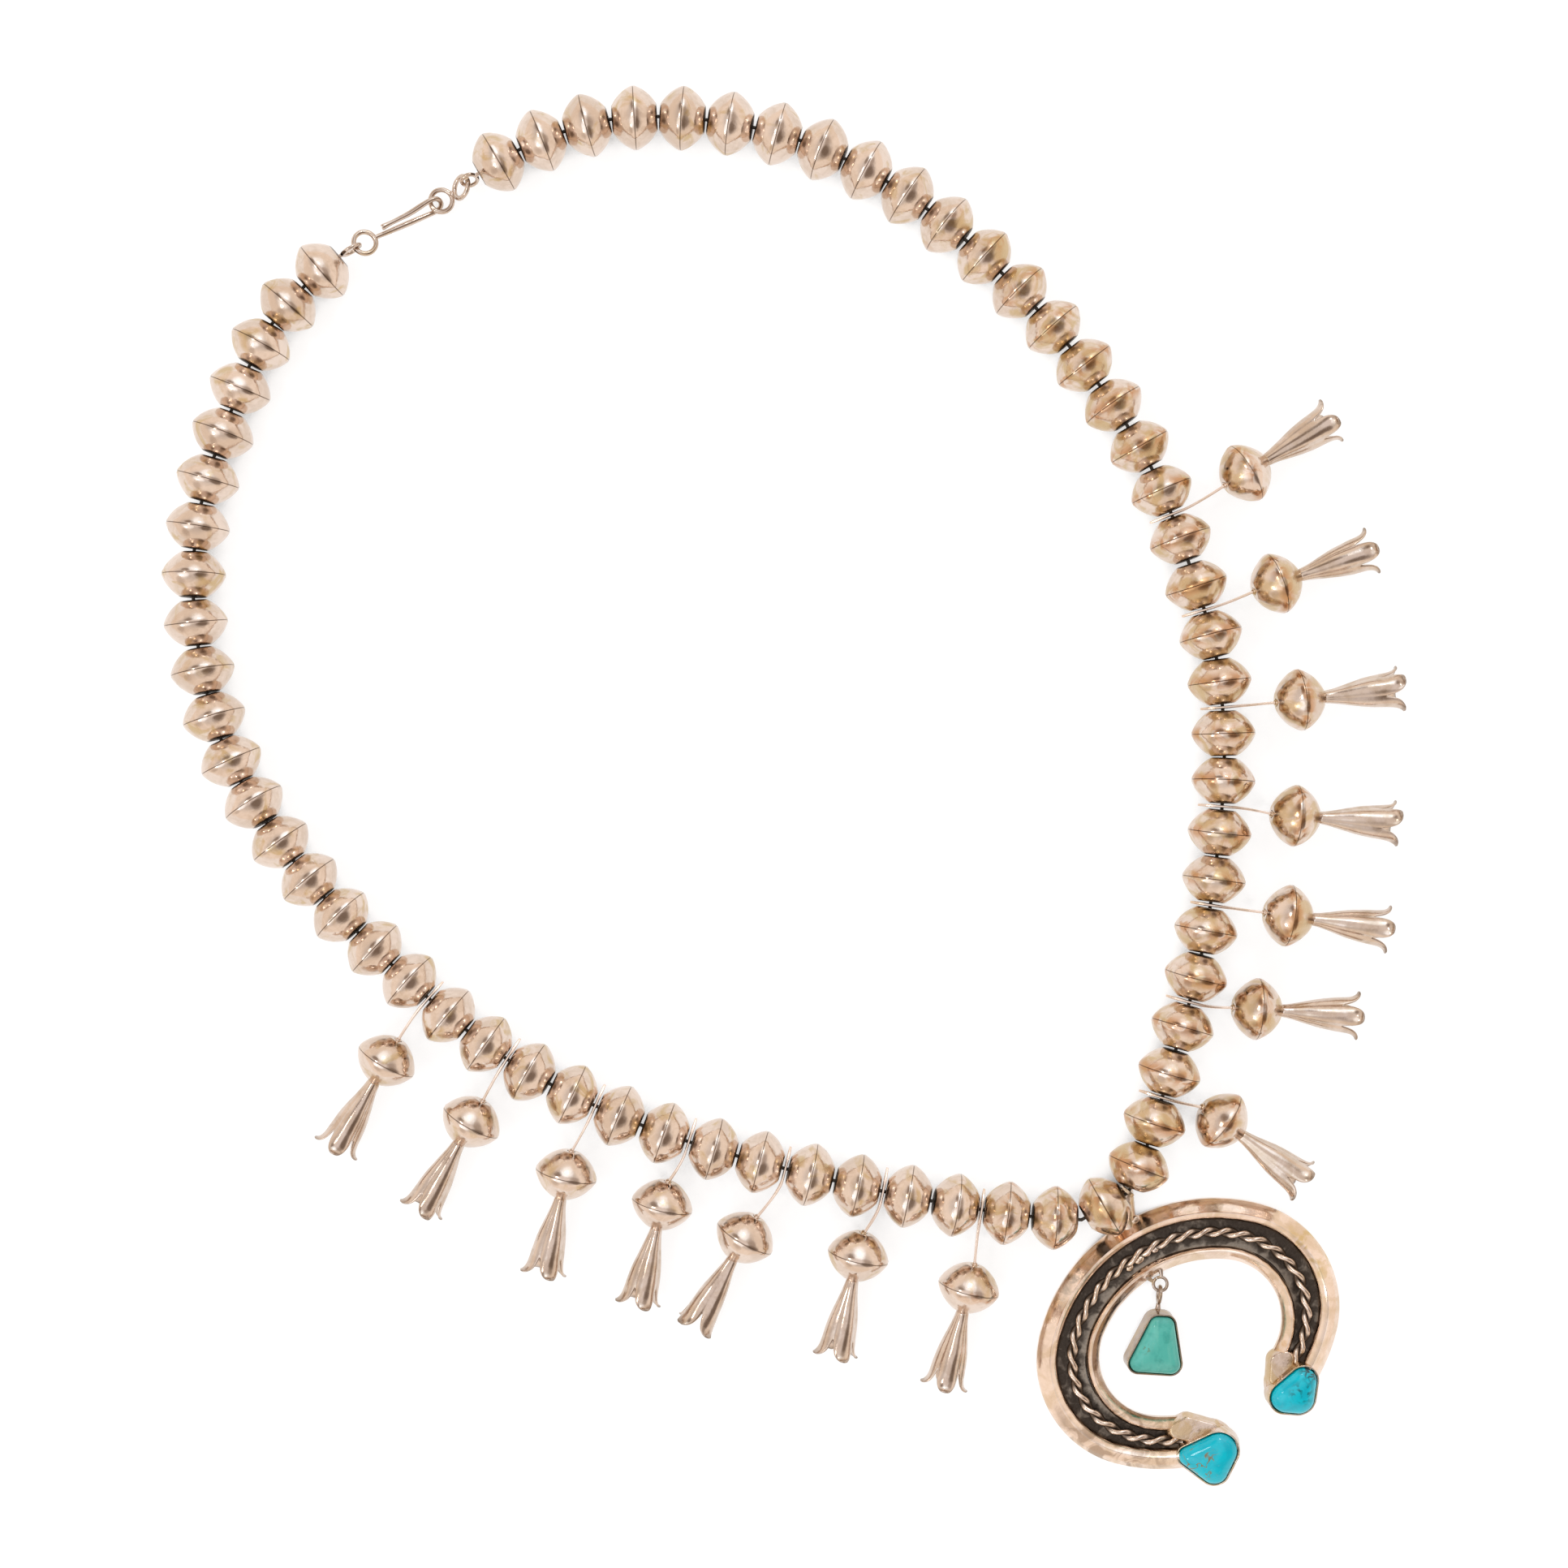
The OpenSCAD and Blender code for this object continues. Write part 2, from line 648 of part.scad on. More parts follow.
module oval(a, b, r) {
    big = oval_big(a, b, r);
    x = big * cos(oval_turn(a, b, r));
    intersection() {
        translate([0, b - big]) circle(r = big, $fn = 240);
        translate([0, big - b]) circle(r = big, $fn = 240);
        square([2 * x, 3 * b], center = true);
    }
    for (s = [-1, 1])
        translate([s * oval_c(a, r), 0]) circle(r = r, $fn = 180);
}

// Stations along an oval open at the bottom: centre, radius and direction
function arc_stations(x, y, r, from, to, n) =
    [for (k = [0 : n - 1]) [x, y, r, from + (to - from) * k / n]];
function oval_stations(a, b, r, left_x, right_x) =
    let (
        big = oval_big(a, b, r),
        c = oval_c(a, r),
        t = oval_turn(a, b, r),
        end = 270 + asin(left_x / big)
    ) concat(
        arc_stations(0, big - b, big, 270 + asin(right_x / big), 360 - t, 4),
        arc_stations(c, 0, r, -t, t, 12),
        arc_stations(0, b - big, big, t, 180 - t, 14),
        arc_stations(-c, 0, r, 180 - t, 180 + t, 12),
        arc_stations(0, big - b, big, 180 + t, end, 5),
        [[0, big - b, big, end]]
    );

// Bar along those stations, its section given as offset and height
module oval_bar(stations, section) {
    n = len(section);
    polyhedron(
        [
            for (s = stations, p = section)
                [s[0] + (s[2] + p[0]) * cos(s[3]), s[1] + (s[2] + p[0]) * sin(s[3]), p[1]]
        ],
        tube_faces(len(stations), n),
        convexity = 6
    );
}

// Crescent in its own frame: X across it, Y to its top, back on the surface
top_joint = joints[naja_after];
naja_hole = [bail_side, naja_b + bail_rise];
function turned(p, a) = [p[0] * cos(a) - p[1] * sin(a), p[0] * sin(a) + p[1] * cos(a)];
naja_place = top_joint - turned(naja_hole, naja_turn);

module on_naja() {
    translate([naja_place[0], naja_place[1], 0]) rotate([0, 0, naja_turn]) children();
}

rim_lap = 0.8;
module channel_floor() {
    linear_extrude(height = channel_t)
        difference() {
            oval(naja_a - rim_lap, naja_b - rim_lap, naja_side_r - rim_lap);
            translate([0, -hollow_drop])
                oval(hollow_a + rim_lap, hollow_b + rim_lap, hollow_side_r + rim_lap);
            translate([arm_left_x, -2 * naja_b]) square([arm_right_x - arm_left_x, 2 * naja_b]);
        }
}

module outer_rim() {
    oval_bar(
        oval_stations(naja_a, naja_b, naja_side_r, arm_left_x, arm_right_x),
        [
            [-outer_rim_w, 0], [-outer_rim_w, channel_t + rim_wall_h],
            [-ridge_share * outer_rim_w, outer_rim_h], [0, rim_edge_h], [0, 0]
        ]
    );
}

module inner_rim() {
    translate([0, -hollow_drop, 0])
        oval_bar(
            oval_stations(hollow_a, hollow_b, hollow_side_r, arm_left_x, arm_right_x),
            [
                [0, 0], [0, rim_edge_h], [ridge_share * inner_rim_w, inner_rim_h],
                [inner_rim_w, channel_t + rim_wall_h], [inner_rim_w, 0]
            ]
        );
}

// Twisted wire: a two-lobed section that turns along the middle of the channel
twist_a = (naja_a - outer_rim_w + hollow_a + inner_rim_w) / 2;
twist_b = (naja_b - outer_rim_w + hollow_b + inner_rim_w) / 2;
twist_z = channel_t + 0.22 * twist_wire;
TWIST_SIDES = 10;
TWIST_STEPS = 144;
TWIST_ROOM = [2.5, 1.5];
twist_from = -acos((arm_right_x + TWIST_ROOM[1]) / twist_a);
twist_to = 180 + acos((TWIST_ROOM[0] - arm_left_x) / twist_a);
function twist_at(u) =
    let (a = twist_from + u * (twist_to - twist_from))
    [twist_a * cos(a), twist_b * sin(a) - hollow_drop / 2];
function twist_run(i) = i == 0 ? 0 : norm(twist_at(i / TWIST_STEPS) - twist_at((i - 1) / TWIST_STEPS));
function sums(v, i = 0, t = 0, found = []) =
    i >= len(v) ? found : sums(v, i + 1, t + v[i], concat(found, [t + v[i]]));
twist_lengths = sums([for (i = [0 : TWIST_STEPS]) twist_run(i)]);
twist_points = [
    for (i = [0 : TWIST_STEPS], k = [0 : TWIST_SIDES - 1])
        let (
            p = twist_at(i / TWIST_STEPS),
            d = twist_at((i + 0.5) / TWIST_STEPS) - twist_at((i - 0.5) / TWIST_STEPS),
            a = atan2(d[1], d[0]),
            f = 360 * k / TWIST_SIDES,
            r = twist_wire * (0.24 + 0.74 * pow(cos(f), 2)),
            g = f - 180 * twist_lengths[i] / twist_half,
            u = r * cos(g),
            v = r * sin(g)
        )
        [p[0] - u * sin(a), p[1] + u * cos(a), twist_z + v]
];

module twist() {
    polyhedron(twist_points, tube_faces(TWIST_STEPS + 1, TWIST_SIDES), convexity = 10);
}

// Outline round several corner circles, grown by an amount
function edge_turn(c, i) =
    let (
        p = c[i],
        q = c[(i + 1) % len(c)],
        d = [q[0] - p[0], q[1] - p[1]]
    ) atan2(d[1], d[0]) - acos((p[2] - q[2]) / norm(d));
function outline(c, grow, n) = [
    for (i = [0 : len(c) - 1], k = [0 : n])
        let (
            a = edge_turn(c, (i + len(c) - 1) % len(c)),
            b = edge_turn(c, i),
            turn = b - a - 360 * floor((b - a) / 360),
            f = a + turn * k / n
        )
        [c[i][0] + (c[i][2] + grow) * cos(f), c[i][1] + (c[i][2] + grow) * sin(f)]
];

// Polished stone: upright edge, then a dome in rings to its top point
DOME_TURNS = [0, 22, 42, 60, 76];
function stone_rings(line, h, dome, mid) = concat(
    [for (p = line) [p[0], p[1], 0]],
    [
        for (t = DOME_TURNS, p = line)
            let (s = pow(cos(t), 0.85))
            [mid[0] + s * (p[0] - mid[0]), mid[1] + s * (p[1] - mid[1]), h + dome * sin(t)]
    ],
    [[mid[0], mid[1], h + dome]]
);
function stone_faces(n, rings) = concat(
    [[for (k = [0 : n - 1]) k]],
    [
        for (i = [0 : rings - 2], k = [0 : n - 1])
            let (a = i * n + k, b = i * n + (k + 1) % n)
            [a, a + n, b + n, b]
    ],
    [for (k = [0 : n - 1]) [(rings - 1) * n + k, rings * n, (rings - 1) * n + (k + 1) % n]]
);
function middle(line) = [for (p = line) 1] * line / len(line);

module stone(corners, edge_h, dome) {
    line = outline(corners, 0, 7);
    polyhedron(
        stone_rings(line, edge_h, dome, middle(line)),
        stone_faces(len(line), len(DOME_TURNS) + 1),
        convexity = 4
    );
}

// Bezel: seat below the stone and a thin wall round it
module bezel(corners, seat, wall_h) {
    difference() {
        translate([0, 0, -seat])
            linear_extrude(height = seat + wall_h)
                polygon(outline(corners, stone_clear + bezel_t, 7));
        linear_extrude(height = wall_h + 1)
            polygon(outline(corners, stone_clear, 7));
    }
}

// Tip settings: place in the crescent's frame, lean and the direction it faces
tip_left = [-9.2, -22.5];
tip_right = [12.1, -19.6];
TIP_LEFT_FACE = -125;
TIP_RIGHT_FACE = -60;
TIP_LEFT_OFFSET = [0.5, 1.4];
TIP_RIGHT_OFFSET = [-0.6, 0.9];

module on_tip(place, face) {
    on_naja()
        translate([place[0], place[1], tip_seat_h])
            rotate([0, 0, -naja_turn])
                rotate([0, 0, face])
                    rotate([0, tip_lean, 0])
                        rotate([0, 0, -face])
                            children();
}

module above_surface() {
    intersection() {
        children();
        translate([-400, -400, 0]) cube([800, 800, 60]);
    }
}

module tip_bezel(place, face, corners) {
    above_surface() on_tip(place, face) bezel(corners, tip_seat_h, tip_bezel_h);
}

module tip_plate(place, offset_by, r) {
    on_naja()
        translate([place[0], place[1], 0])
            rotate([0, 0, -naja_turn])
                translate([offset_by[0], offset_by[1], 0])
                    cylinder(r1 = r, r2 = r - tip_plate_slope, h = tip_seat_h - 0.1, $fn = 72);
}

// Ring below the crescent's top, flat, and the link that hangs in it
module torus(d, wire) {
    rotate_extrude($fn = 48)
        translate([(d - wire) / 2, 0])
            circle(d = wire, $fn = 16);
}

LEG_ROOT = 1.4;
link_z = link_d / 2 + 0.05;
ring_z = link_z - 0.15;
ring_place = [0.35, hollow_b - hollow_drop - ring_d / 2 - ring_leg];

module drop_ring() {
    translate([ring_place[0], ring_place[1], ring_z]) {
        torus(ring_d, ring_wire);
        translate([0, (ring_d - ring_wire) / 2, 0])
            rotate([-90, 0, 0])
                cylinder(d = 2 * ring_wire, h = ring_leg + LEG_ROOT, $fn = 24);
    }
}

// Bail: half round bar on the rim, then a tongue between the two corner beads
module bail() {
    from = [0.5, naja_b - bail_root];
    way = naja_hole - from;
    above_surface()
        on_naja()
            translate([from[0], from[1], bail_bar_z])
                rotate([0, 0, atan2(way[1], way[0])])
                    rotate([0, 90, 0])
                        cylinder(r = bail_bar_r, h = norm(way), $fn = 32);
    translate([top_joint[0], top_joint[1], 0])
        rotate([0, 0, thread_heading(naja_after) + 90])
            difference() {
                union() {
                    translate([-bail_w / 2, -bail_t / 2, 0]) cube([bail_w, bail_t, axis_z]);
                    translate([0, 0, axis_z])
                        rotate([90, 0, 0])
                            cylinder(d = bail_w, h = bail_t, center = true, $fn = 48);
                }
                translate([0, 0, axis_z])
                    rotate([90, 0, 0])
                        cylinder(d = bead_bore, h = 2, center = true, $fn = 24);
            }
}

module naja() {
    color(SILVER)
        difference() {
            union() {
                on_naja() {
                    channel_floor();
                    outer_rim();
                    inner_rim();
                    twist();
                    drop_ring();
                }
                bail();
                tip_plate(tip_left, TIP_LEFT_OFFSET, tip_plate_left_r);
                tip_plate(tip_right, TIP_RIGHT_OFFSET, tip_plate_right_r);
                tip_bezel(tip_left, TIP_LEFT_FACE, TIP_LEFT_CORNERS);
                tip_bezel(tip_right, TIP_RIGHT_FACE, TIP_RIGHT_CORNERS);
            }
            on_tip(tip_left, TIP_LEFT_FACE)
                linear_extrude(height = 9) polygon(outline(TIP_LEFT_CORNERS, stone_clear, 7));
            on_tip(tip_right, TIP_RIGHT_FACE)
                linear_extrude(height = 9) polygon(outline(TIP_RIGHT_CORNERS, stone_clear, 7));
        }
}

module tip_stone_left() {
    color(SKY_TURQUOISE)
        on_tip(tip_left, TIP_LEFT_FACE)
            translate([0, 0, stone_clear]) stone(TIP_LEFT_CORNERS, girdle_h, dome_h);
}

module tip_stone_right() {
    color(SKY_TURQUOISE)
        on_tip(tip_right, TIP_RIGHT_FACE)
            translate([0, 0, stone_clear]) stone(TIP_RIGHT_CORNERS, girdle_h, dome_h);
}

// Drop: hangs from the ring along its own direction on the surface
hang = naja_turn - 90 + drop_swing;
ring_centre = naja_place + turned(ring_place, naja_turn);
link_in = ring_d / 2 - ring_wire - link_clear - link_wire / 2;
link_centre = ring_centre + (link_in + (link_d - link_wire) / 2) * unit(hang);
drop_middle = link_centre + drop_reach * unit(hang);
drop_top = DROP_CORNERS[2][1] + DROP_CORNERS[2][2];
DROP_FACE = -53;

module on_drop() {
    translate([drop_middle[0], drop_middle[1], drop_z])
        rotate([0, 0, DROP_FACE])
            rotate([0, drop_lean, 0])
                rotate([0, 0, hang + 90 - DROP_FACE])
                    children();
}

module drop_setting() {
    color(SILVER) {
        translate([link_centre[0], link_centre[1], link_z])
            rotate([0, 0, hang])
                rotate([90, 0, 0])
                    torus(link_d, link_wire);
        above_surface() on_drop() bezel(DROP_CORNERS, drop_floor_t, drop_bezel_h - drop_floor_t);
        translate([link_centre[0], link_centre[1], link_z])
            rotate([0, 90, hang])
                translate([0, 0, (link_d - link_wire) / 2])
                    cylinder(
                        d = drop_neck_d,
                        h = drop_reach - (link_d - link_wire) / 2 - drop_top,
                        $fn = 24
                    );
    }
}

module drop_stone() {
    color(GREEN_TURQUOISE)
        on_drop()
            translate([0, 0, stone_clear])
                stone(DROP_CORNERS, drop_bezel_h - drop_floor_t - 0.1, drop_dome_h);
}

// Clasp frame: X from the last bead's end to the first bead's end
last_end = joints[bead_count];
first_end = joints[0];
clasp_way = first_end - last_end;
module on_clasp() {
    translate([last_end[0], last_end[1], 0])
        rotate([0, 0, atan2(clasp_way[1], clasp_way[0])])
            children();
}

// Left end loop: a stem in the bead's hole and an upright ring
left_turn = heading(bead_count) - atan2(clasp_way[1], clasp_way[0]);
right_turn = heading(1) - atan2(clasp_way[1], clasp_way[0]);

module end_loop_left() {
    color(SILVER)
        on_clasp()
            translate([0, 0, axis_z]) {
                rotate([0, 0, left_turn])
                    translate([-stem_in, 0, 0])
                        rotate([0, 90, 0]) cylinder(d = loop_wire, h = stem_in, $fn = 16);
                sphere(d = loop_wire, $fn = 16);
                rotate([0, loop_left_slope, 0])
                    translate([loop_left_d / 2, 0, 0])
                        rotate([90, 0, 0])
                            torus(loop_left_d, loop_wire);
            }
}

// Right end loop: slopes down to the catch, rolled across its ring
module end_loop_right() {
    color(SILVER)
        on_clasp()
            translate([clasp_len, 0, axis_z]) {
                rotate([0, 0, right_turn])
                    rotate([0, 90, 0]) cylinder(d = loop_wire, h = stem_in, $fn = 16);
                sphere(d = loop_wire, $fn = 16);
                rotate([loop_right_roll, -loop_right_slope, 0])
                    translate([-loop_right_d / 2 - loop_wire / 4, 0, 0])
                        torus(loop_right_d, loop_wire);
            }
}

// Catch: one ring leans up to the right end loop, the other lies flat for the hook
eye_r = (eye_d - clasp_wire) / 2;
catch_out = loop_right_d - 0.75 * loop_wire - link_clear - clasp_wire / 2;
catch_far = [
    clasp_len - catch_out * cos(loop_right_slope),
    axis_z - catch_out * sin(loop_right_slope)
];
catch_low = catch_far - 2 * eye_r * [cos(catch_lean), sin(catch_lean)];
catch_flat = [catch_low[0] - 0.85 * clasp_wire - eye_r, catch_low[1] - 0.1];

module catch_link() {
    color(SILVER)
        on_clasp() {
            translate([catch_far[0], 0, catch_far[1]])
                rotate([catch_roll, -catch_lean, 0])
                    translate([-eye_r, 0, 0])
                        torus(eye_d, clasp_wire);
            translate([catch_flat[0], 0, catch_flat[1]]) torus(eye_d, clasp_wire);
        }
}

// Hook: eye on the left end loop, long leg down to the bend, short leg back
eye_in = loop_left_d - loop_wire - link_clear - clasp_wire / 2;
eye_far = [eye_in * cos(loop_left_slope), axis_z - eye_in * sin(loop_left_slope)];
bend_r = hook_span / 2;
bend_x = catch_flat[0] - bend_r - 0.3;
leg_z = catch_flat[1] - bend_r * sin(hook_roll);
leg_slope = atan2(eye_far[1] - leg_z, bend_x - eye_far[0]);
leg_y = -bend_r * cos(hook_roll);
back_z = 2 * catch_flat[1] - leg_z;
hook_tip = [bend_x - hook_back, -0.9 * leg_y, back_z + hook_rise];

// The hook's wire: centre points with a thickness at each, from the eye to the ball
HOOK_SIDES = 12;
HOOK_ARC = [-90 : 18 : 90];
BALL_TURNS = [-50, -20, 10, 40, 68];
hook_normal = [0, -sin(hook_roll), cos(hook_roll)];
hook_root = [eye_far[0] + 2 * eye_r * cos(leg_slope), 0, eye_far[1] - 2 * eye_r * sin(leg_slope)];
hook_mid = [bend_x - 0.45 * hook_back, -0.7 * leg_y, back_z + 0.25 * hook_rise];
hook_end = (hook_tip - hook_mid) / norm(hook_tip - hook_mid);
hook_line = concat(
    [[hook_root, clasp_wire]],
    [
        for (a = HOOK_ARC)
            let (y = bend_r * sin(a))
            [[bend_x + bend_r * cos(a), y * cos(hook_roll), catch_flat[1] + y * sin(hook_roll)], clasp_wire]
    ],
    [[hook_mid, clasp_wire], [hook_tip - hook_ball_d * hook_end, clasp_wire]],
    [
        for (t = BALL_TURNS)
            [hook_tip + hook_ball_d / 2 * sin(t) * hook_end, hook_ball_d * cos(t)]
    ]
);
hook_points = [
    for (i = [0 : len(hook_line) - 1], k = [0 : HOOK_SIDES - 1])
        let (
            t = hook_line[min(i + 1, len(hook_line) - 1)][0] - hook_line[max(i - 1, 0)][0],
            v = cross(t, hook_normal) / norm(cross(t, hook_normal)),
            w = cross(t, v) / norm(t),
            f = 360 * k / HOOK_SIDES
        )
        hook_line[i][0] + hook_line[i][1] / 2 * (cos(f) * v + sin(f) * w)
];

module hook() {
    color(SILVER)
        on_clasp() {
            translate([eye_far[0], 0, eye_far[1]])
                rotate([0, leg_slope, 0])
                    translate([eye_r, 0, 0])
                        torus(eye_d, clasp_wire);
            polyhedron(hook_points, tube_faces(len(hook_line), HOOK_SIDES), convexity = 8);
        }
}

bead_string_right();
bead_string_left();
thread();
blossom_r1();
blossom_r2();
blossom_r3();
blossom_r4();
blossom_r5();
blossom_r6();
blossom_r7();
blossom_l1();
blossom_l2();
blossom_l3();
blossom_l4();
blossom_l5();
blossom_l6();
blossom_l7();
naja();
tip_stone_left();
tip_stone_right();
drop_setting();
drop_stone();
hook();
catch_link();
end_loop_left();
end_loop_right();
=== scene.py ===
"""Dresses the squash blossom necklace: silver beads, blossoms, crescent, stones and clasp."""

from math import acos, asin, atan2, cos, degrees, pi, radians, sin, sqrt, tau

import bmesh
import bpy
import numpy as np
from mathutils import Matrix, Vector


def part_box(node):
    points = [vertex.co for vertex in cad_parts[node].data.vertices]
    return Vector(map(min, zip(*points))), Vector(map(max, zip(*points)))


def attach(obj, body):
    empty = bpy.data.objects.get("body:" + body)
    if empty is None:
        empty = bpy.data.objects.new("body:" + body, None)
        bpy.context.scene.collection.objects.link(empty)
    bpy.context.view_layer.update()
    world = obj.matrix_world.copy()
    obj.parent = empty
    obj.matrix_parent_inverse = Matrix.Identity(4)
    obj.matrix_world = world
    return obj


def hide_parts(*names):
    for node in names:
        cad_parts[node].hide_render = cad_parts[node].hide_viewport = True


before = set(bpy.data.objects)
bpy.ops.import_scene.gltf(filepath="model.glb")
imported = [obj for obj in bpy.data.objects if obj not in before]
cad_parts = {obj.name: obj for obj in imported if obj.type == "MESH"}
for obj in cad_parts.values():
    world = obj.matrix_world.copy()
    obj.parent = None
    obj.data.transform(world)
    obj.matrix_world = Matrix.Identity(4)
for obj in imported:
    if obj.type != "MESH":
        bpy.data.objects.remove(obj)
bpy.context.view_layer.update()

bl_info = {
    "name": "Squash Blossom Necklace",
    "version": (1, 0, 0),
    "blender": (4, 5, 0),
    "location": "View3D > Sidebar > Necklace",
    "description": "Builds the dressed pieces of a squash blossom necklace round its frame",
    "category": "Add Mesh",
}

MM = 0.001
BLOSSOMS_A_SIDE = 7
RIGHT_BEADS = 33
BEADS_PER_BLOSSOM = 2

# Each blossom: reach share, aim, bend of the flower, roll of its petals and shank's inside tail
RIGHT_ROWS = [
    (1.11, 8, 2, -10, 4.6), (1.01, 4, -1, 0, 4.6), (1.02, 1, 1, 22, 4.4), (0.97, -3, 3, 22, 4.8),
    (1.03, 1, 0, 4, 4.0), (0.89, 9, 2, 0, 4.8), (0.84, -5, -15, 25, 4.8),
]
LEFT_ROWS = [
    (0.99, 7, 4, 5, 4.4), (0.95, 3, 0, 22, 4.8), (0.98, 1, 10, 22, 4.6), (0.90, -5, 9, 22, 4.8),
    (1.05, -16, 1, 45, 4.5), (0.91, -9, 8, 22, 4.8), (1.04, 0, -5, 0, 4.2),
]

# Flower tube: share of its length, share of the flare at its mouth
TUBE_ROWS = [
    (0, 0.18), (0.07, 0.195), (0.16, 0.25), (0.28, 0.35), (0.4, 0.45), (0.52, 0.54), (0.64, 0.60),
    (0.75, 0.635),
]

# A petal past the tube: share of the length, share of the flare, share of the petal's width
PETAL_ROWS = [
    (0.81, 0.65, 0.99), (0.87, 0.67, 0.97), (0.92, 0.71, 0.91), (0.955, 0.77, 0.80),
    (0.98, 0.84, 0.64), (0.995, 0.92, 0.46), (1.0, 1.0, 0.28),
]

# Stones: corners as centre x, centre y and radius, in millimetres
TIP_LEFT_CORNERS = [(-3.7, 0.3, 1.9), (1.3, -2.4, 2.7), (2.3, 1.7, 3.5)]
TIP_RIGHT_CORNERS = [(-1.5, -1.4, 3), (1.1, -1.7, 3), (1.8, 1.9, 2.7)]
DROP_CORNERS = [(-3.3, -4, 1.8), (3.3, -4, 1.8), (1.1, 4, 1.7), (-0.5, 4, 1.7)]

# Plates below the tip stones: corners on the surface as above, and height
PLATES = [
    ([(84.5, -130.7, 5.4)], 2.3),
    ([(84.8, -128.4, 3.0), (77.4, -127.3, 2.0), (79.9, -126.0, 2.0)], 3.0),
    ([(100.4, -118.2, 5.0)], 2.2),
    ([(98.4, -117.4, 2.8), (99.6, -112.8, 1.9), (98.0, -113.6, 2.2)], 3.0),
]

# Solder on the crescent: x, y, z and radius in its own frame
SOLDER_SPOTS = [
    (-1.6, 24.6, 2.1, 1.2), (2.5, 25.0, 1.9, 1.2), (-0.8, 17.6, 1.5, 1.1), (1.2, 17.9, 1.6, 0.9),
    (3.0, 17.7, 1.5, 0.8), (-3.2, 17.2, 1.4, 0.9),
]

# Stains of the rims: x, y, radius and colour
STAINS = [
    (103.5, -92.5, 9, (0.62, 0.45, 0.20)), (66, -130, 16, (0.40, 0.29, 0.21)),
    (58, -98, 7, (0.42, 0.36, 0.30)), (97.5, -112, 6, (0.66, 0.44, 0.24)),
    (80, -126.5, 8, (0.50, 0.34, 0.20)),
]

# Lamps: azimuth, elevation, width in metres and power
LAMPS = {
    "key_light": (75, 46, 0.12, 0.42),
    "fill_light": (215, 38, 0.12, 0.42),
    "top_light": (163, 62, 0.20, 0.70),
}

# Bright and brown parts of the room: azimuth, elevation, inner and outer radius, share, colour
ROOM_PARTS = [
    (75, 44, 8, 27, 0.95, (1.36, 1.50, 1.66)), (220, 52, 10, 26, 0.9, (1.36, 1.46, 1.58)),
    (120, 50, 4, 19, 0.95, (0.30, 0.24, 0.20)), (322, 46, 12, 31, 1.0, (0.22, 0.17, 0.14)),
    (12, 48, 8, 22, 0.7, (0.36, 0.29, 0.24)), (232, 20, 5, 16, 0.6, (0.46, 0.38, 0.32)),
]

# The photo's view: focal length and width in pixels, place and sensor in millimetres, and how
# far away the lamps stand, in metres
FOCAL_PIXELS, PHOTO_PIXELS = 3710.94, 1932
CAMERA_AT = (-0.07, 0.89, 600)
SENSOR_WIDTH = 36
LAMP_AWAY = 1.1


def length(millimetres, description):
    """A size that the sidebar shows in the scene's units."""
    return lambda name: bpy.props.FloatProperty(
        name=name, description=description, default=millimetres * MM, min=0,
        subtype="DISTANCE", unit="LENGTH", precision=5,
    )


def angle(degrees_, description):
    """A turn that the sidebar shows in degrees."""
    return lambda name: bpy.props.FloatProperty(
        name=name, description=description, default=radians(degrees_),
        subtype="ANGLE", unit="ROTATION",
    )


def colour(rgb, description):
    """A colour in linear light."""
    return lambda name: bpy.props.FloatVectorProperty(
        name=name, description=description, default=rgb, size=3, min=0, max=1, subtype="COLOR",
    )


def labelled(group):
    """Each value of a group is named in the sidebar after its key."""
    for key, made in group.__annotations__.items():
        group.__annotations__[key] = made(key.replace("_", " ").capitalize())
    return group


def values(name):
    """The scene's sizes or colours of one group."""
    return getattr(bpy.context.scene, "necklace_" + name)


@labelled
class NecklaceBeads(bpy.types.PropertyGroup):
    """Sizes of the beads and the blossoms."""

    bead_width: length(12.5, "Width of a bead across its seam")
    bead_length: length(8.9, "Length of a bead along the thread")
    blossom_bead_width: length(12.2, "Width of a blossom's bead")
    blossom_bead_length: length(9.5, "Length of a blossom's bead")
    seam_slope: angle(71, "Slope of the dome where it meets the seam")
    seam_wear: length(0.12, "Wear of the seam's edge")
    dome_radius: length(8, "Radius of the dome's long curve")
    shoulder_radius: length(1.2, "Radius of the shoulder round the hole")
    hole: length(1.6, "Thread hole of a bead")
    dent_depth: length(0.09, "Depth of the soft dents over a bead")
    reach: length(15, "Usual distance from the string to a blossom's bead")
    shank_thick: length(0.5, "Thickness of the flat shank")
    shank_wide: length(3.8, "Width of the shank at the thread")
    shank_tip: length(1.4, "Width of the shank at the bead")
    shank_root: length(4.6, "Straight run of the shank beside the beads")
    flower_length: length(15.8, "Length from the flower's neck to its tips")
    flower_flare: length(4.8, "Radius across the curled tips")
    petal_thick: length(0.4, "Thickness of the petals")
    solder_radius: length(1.15, "Radius of the solder between bead and flower")


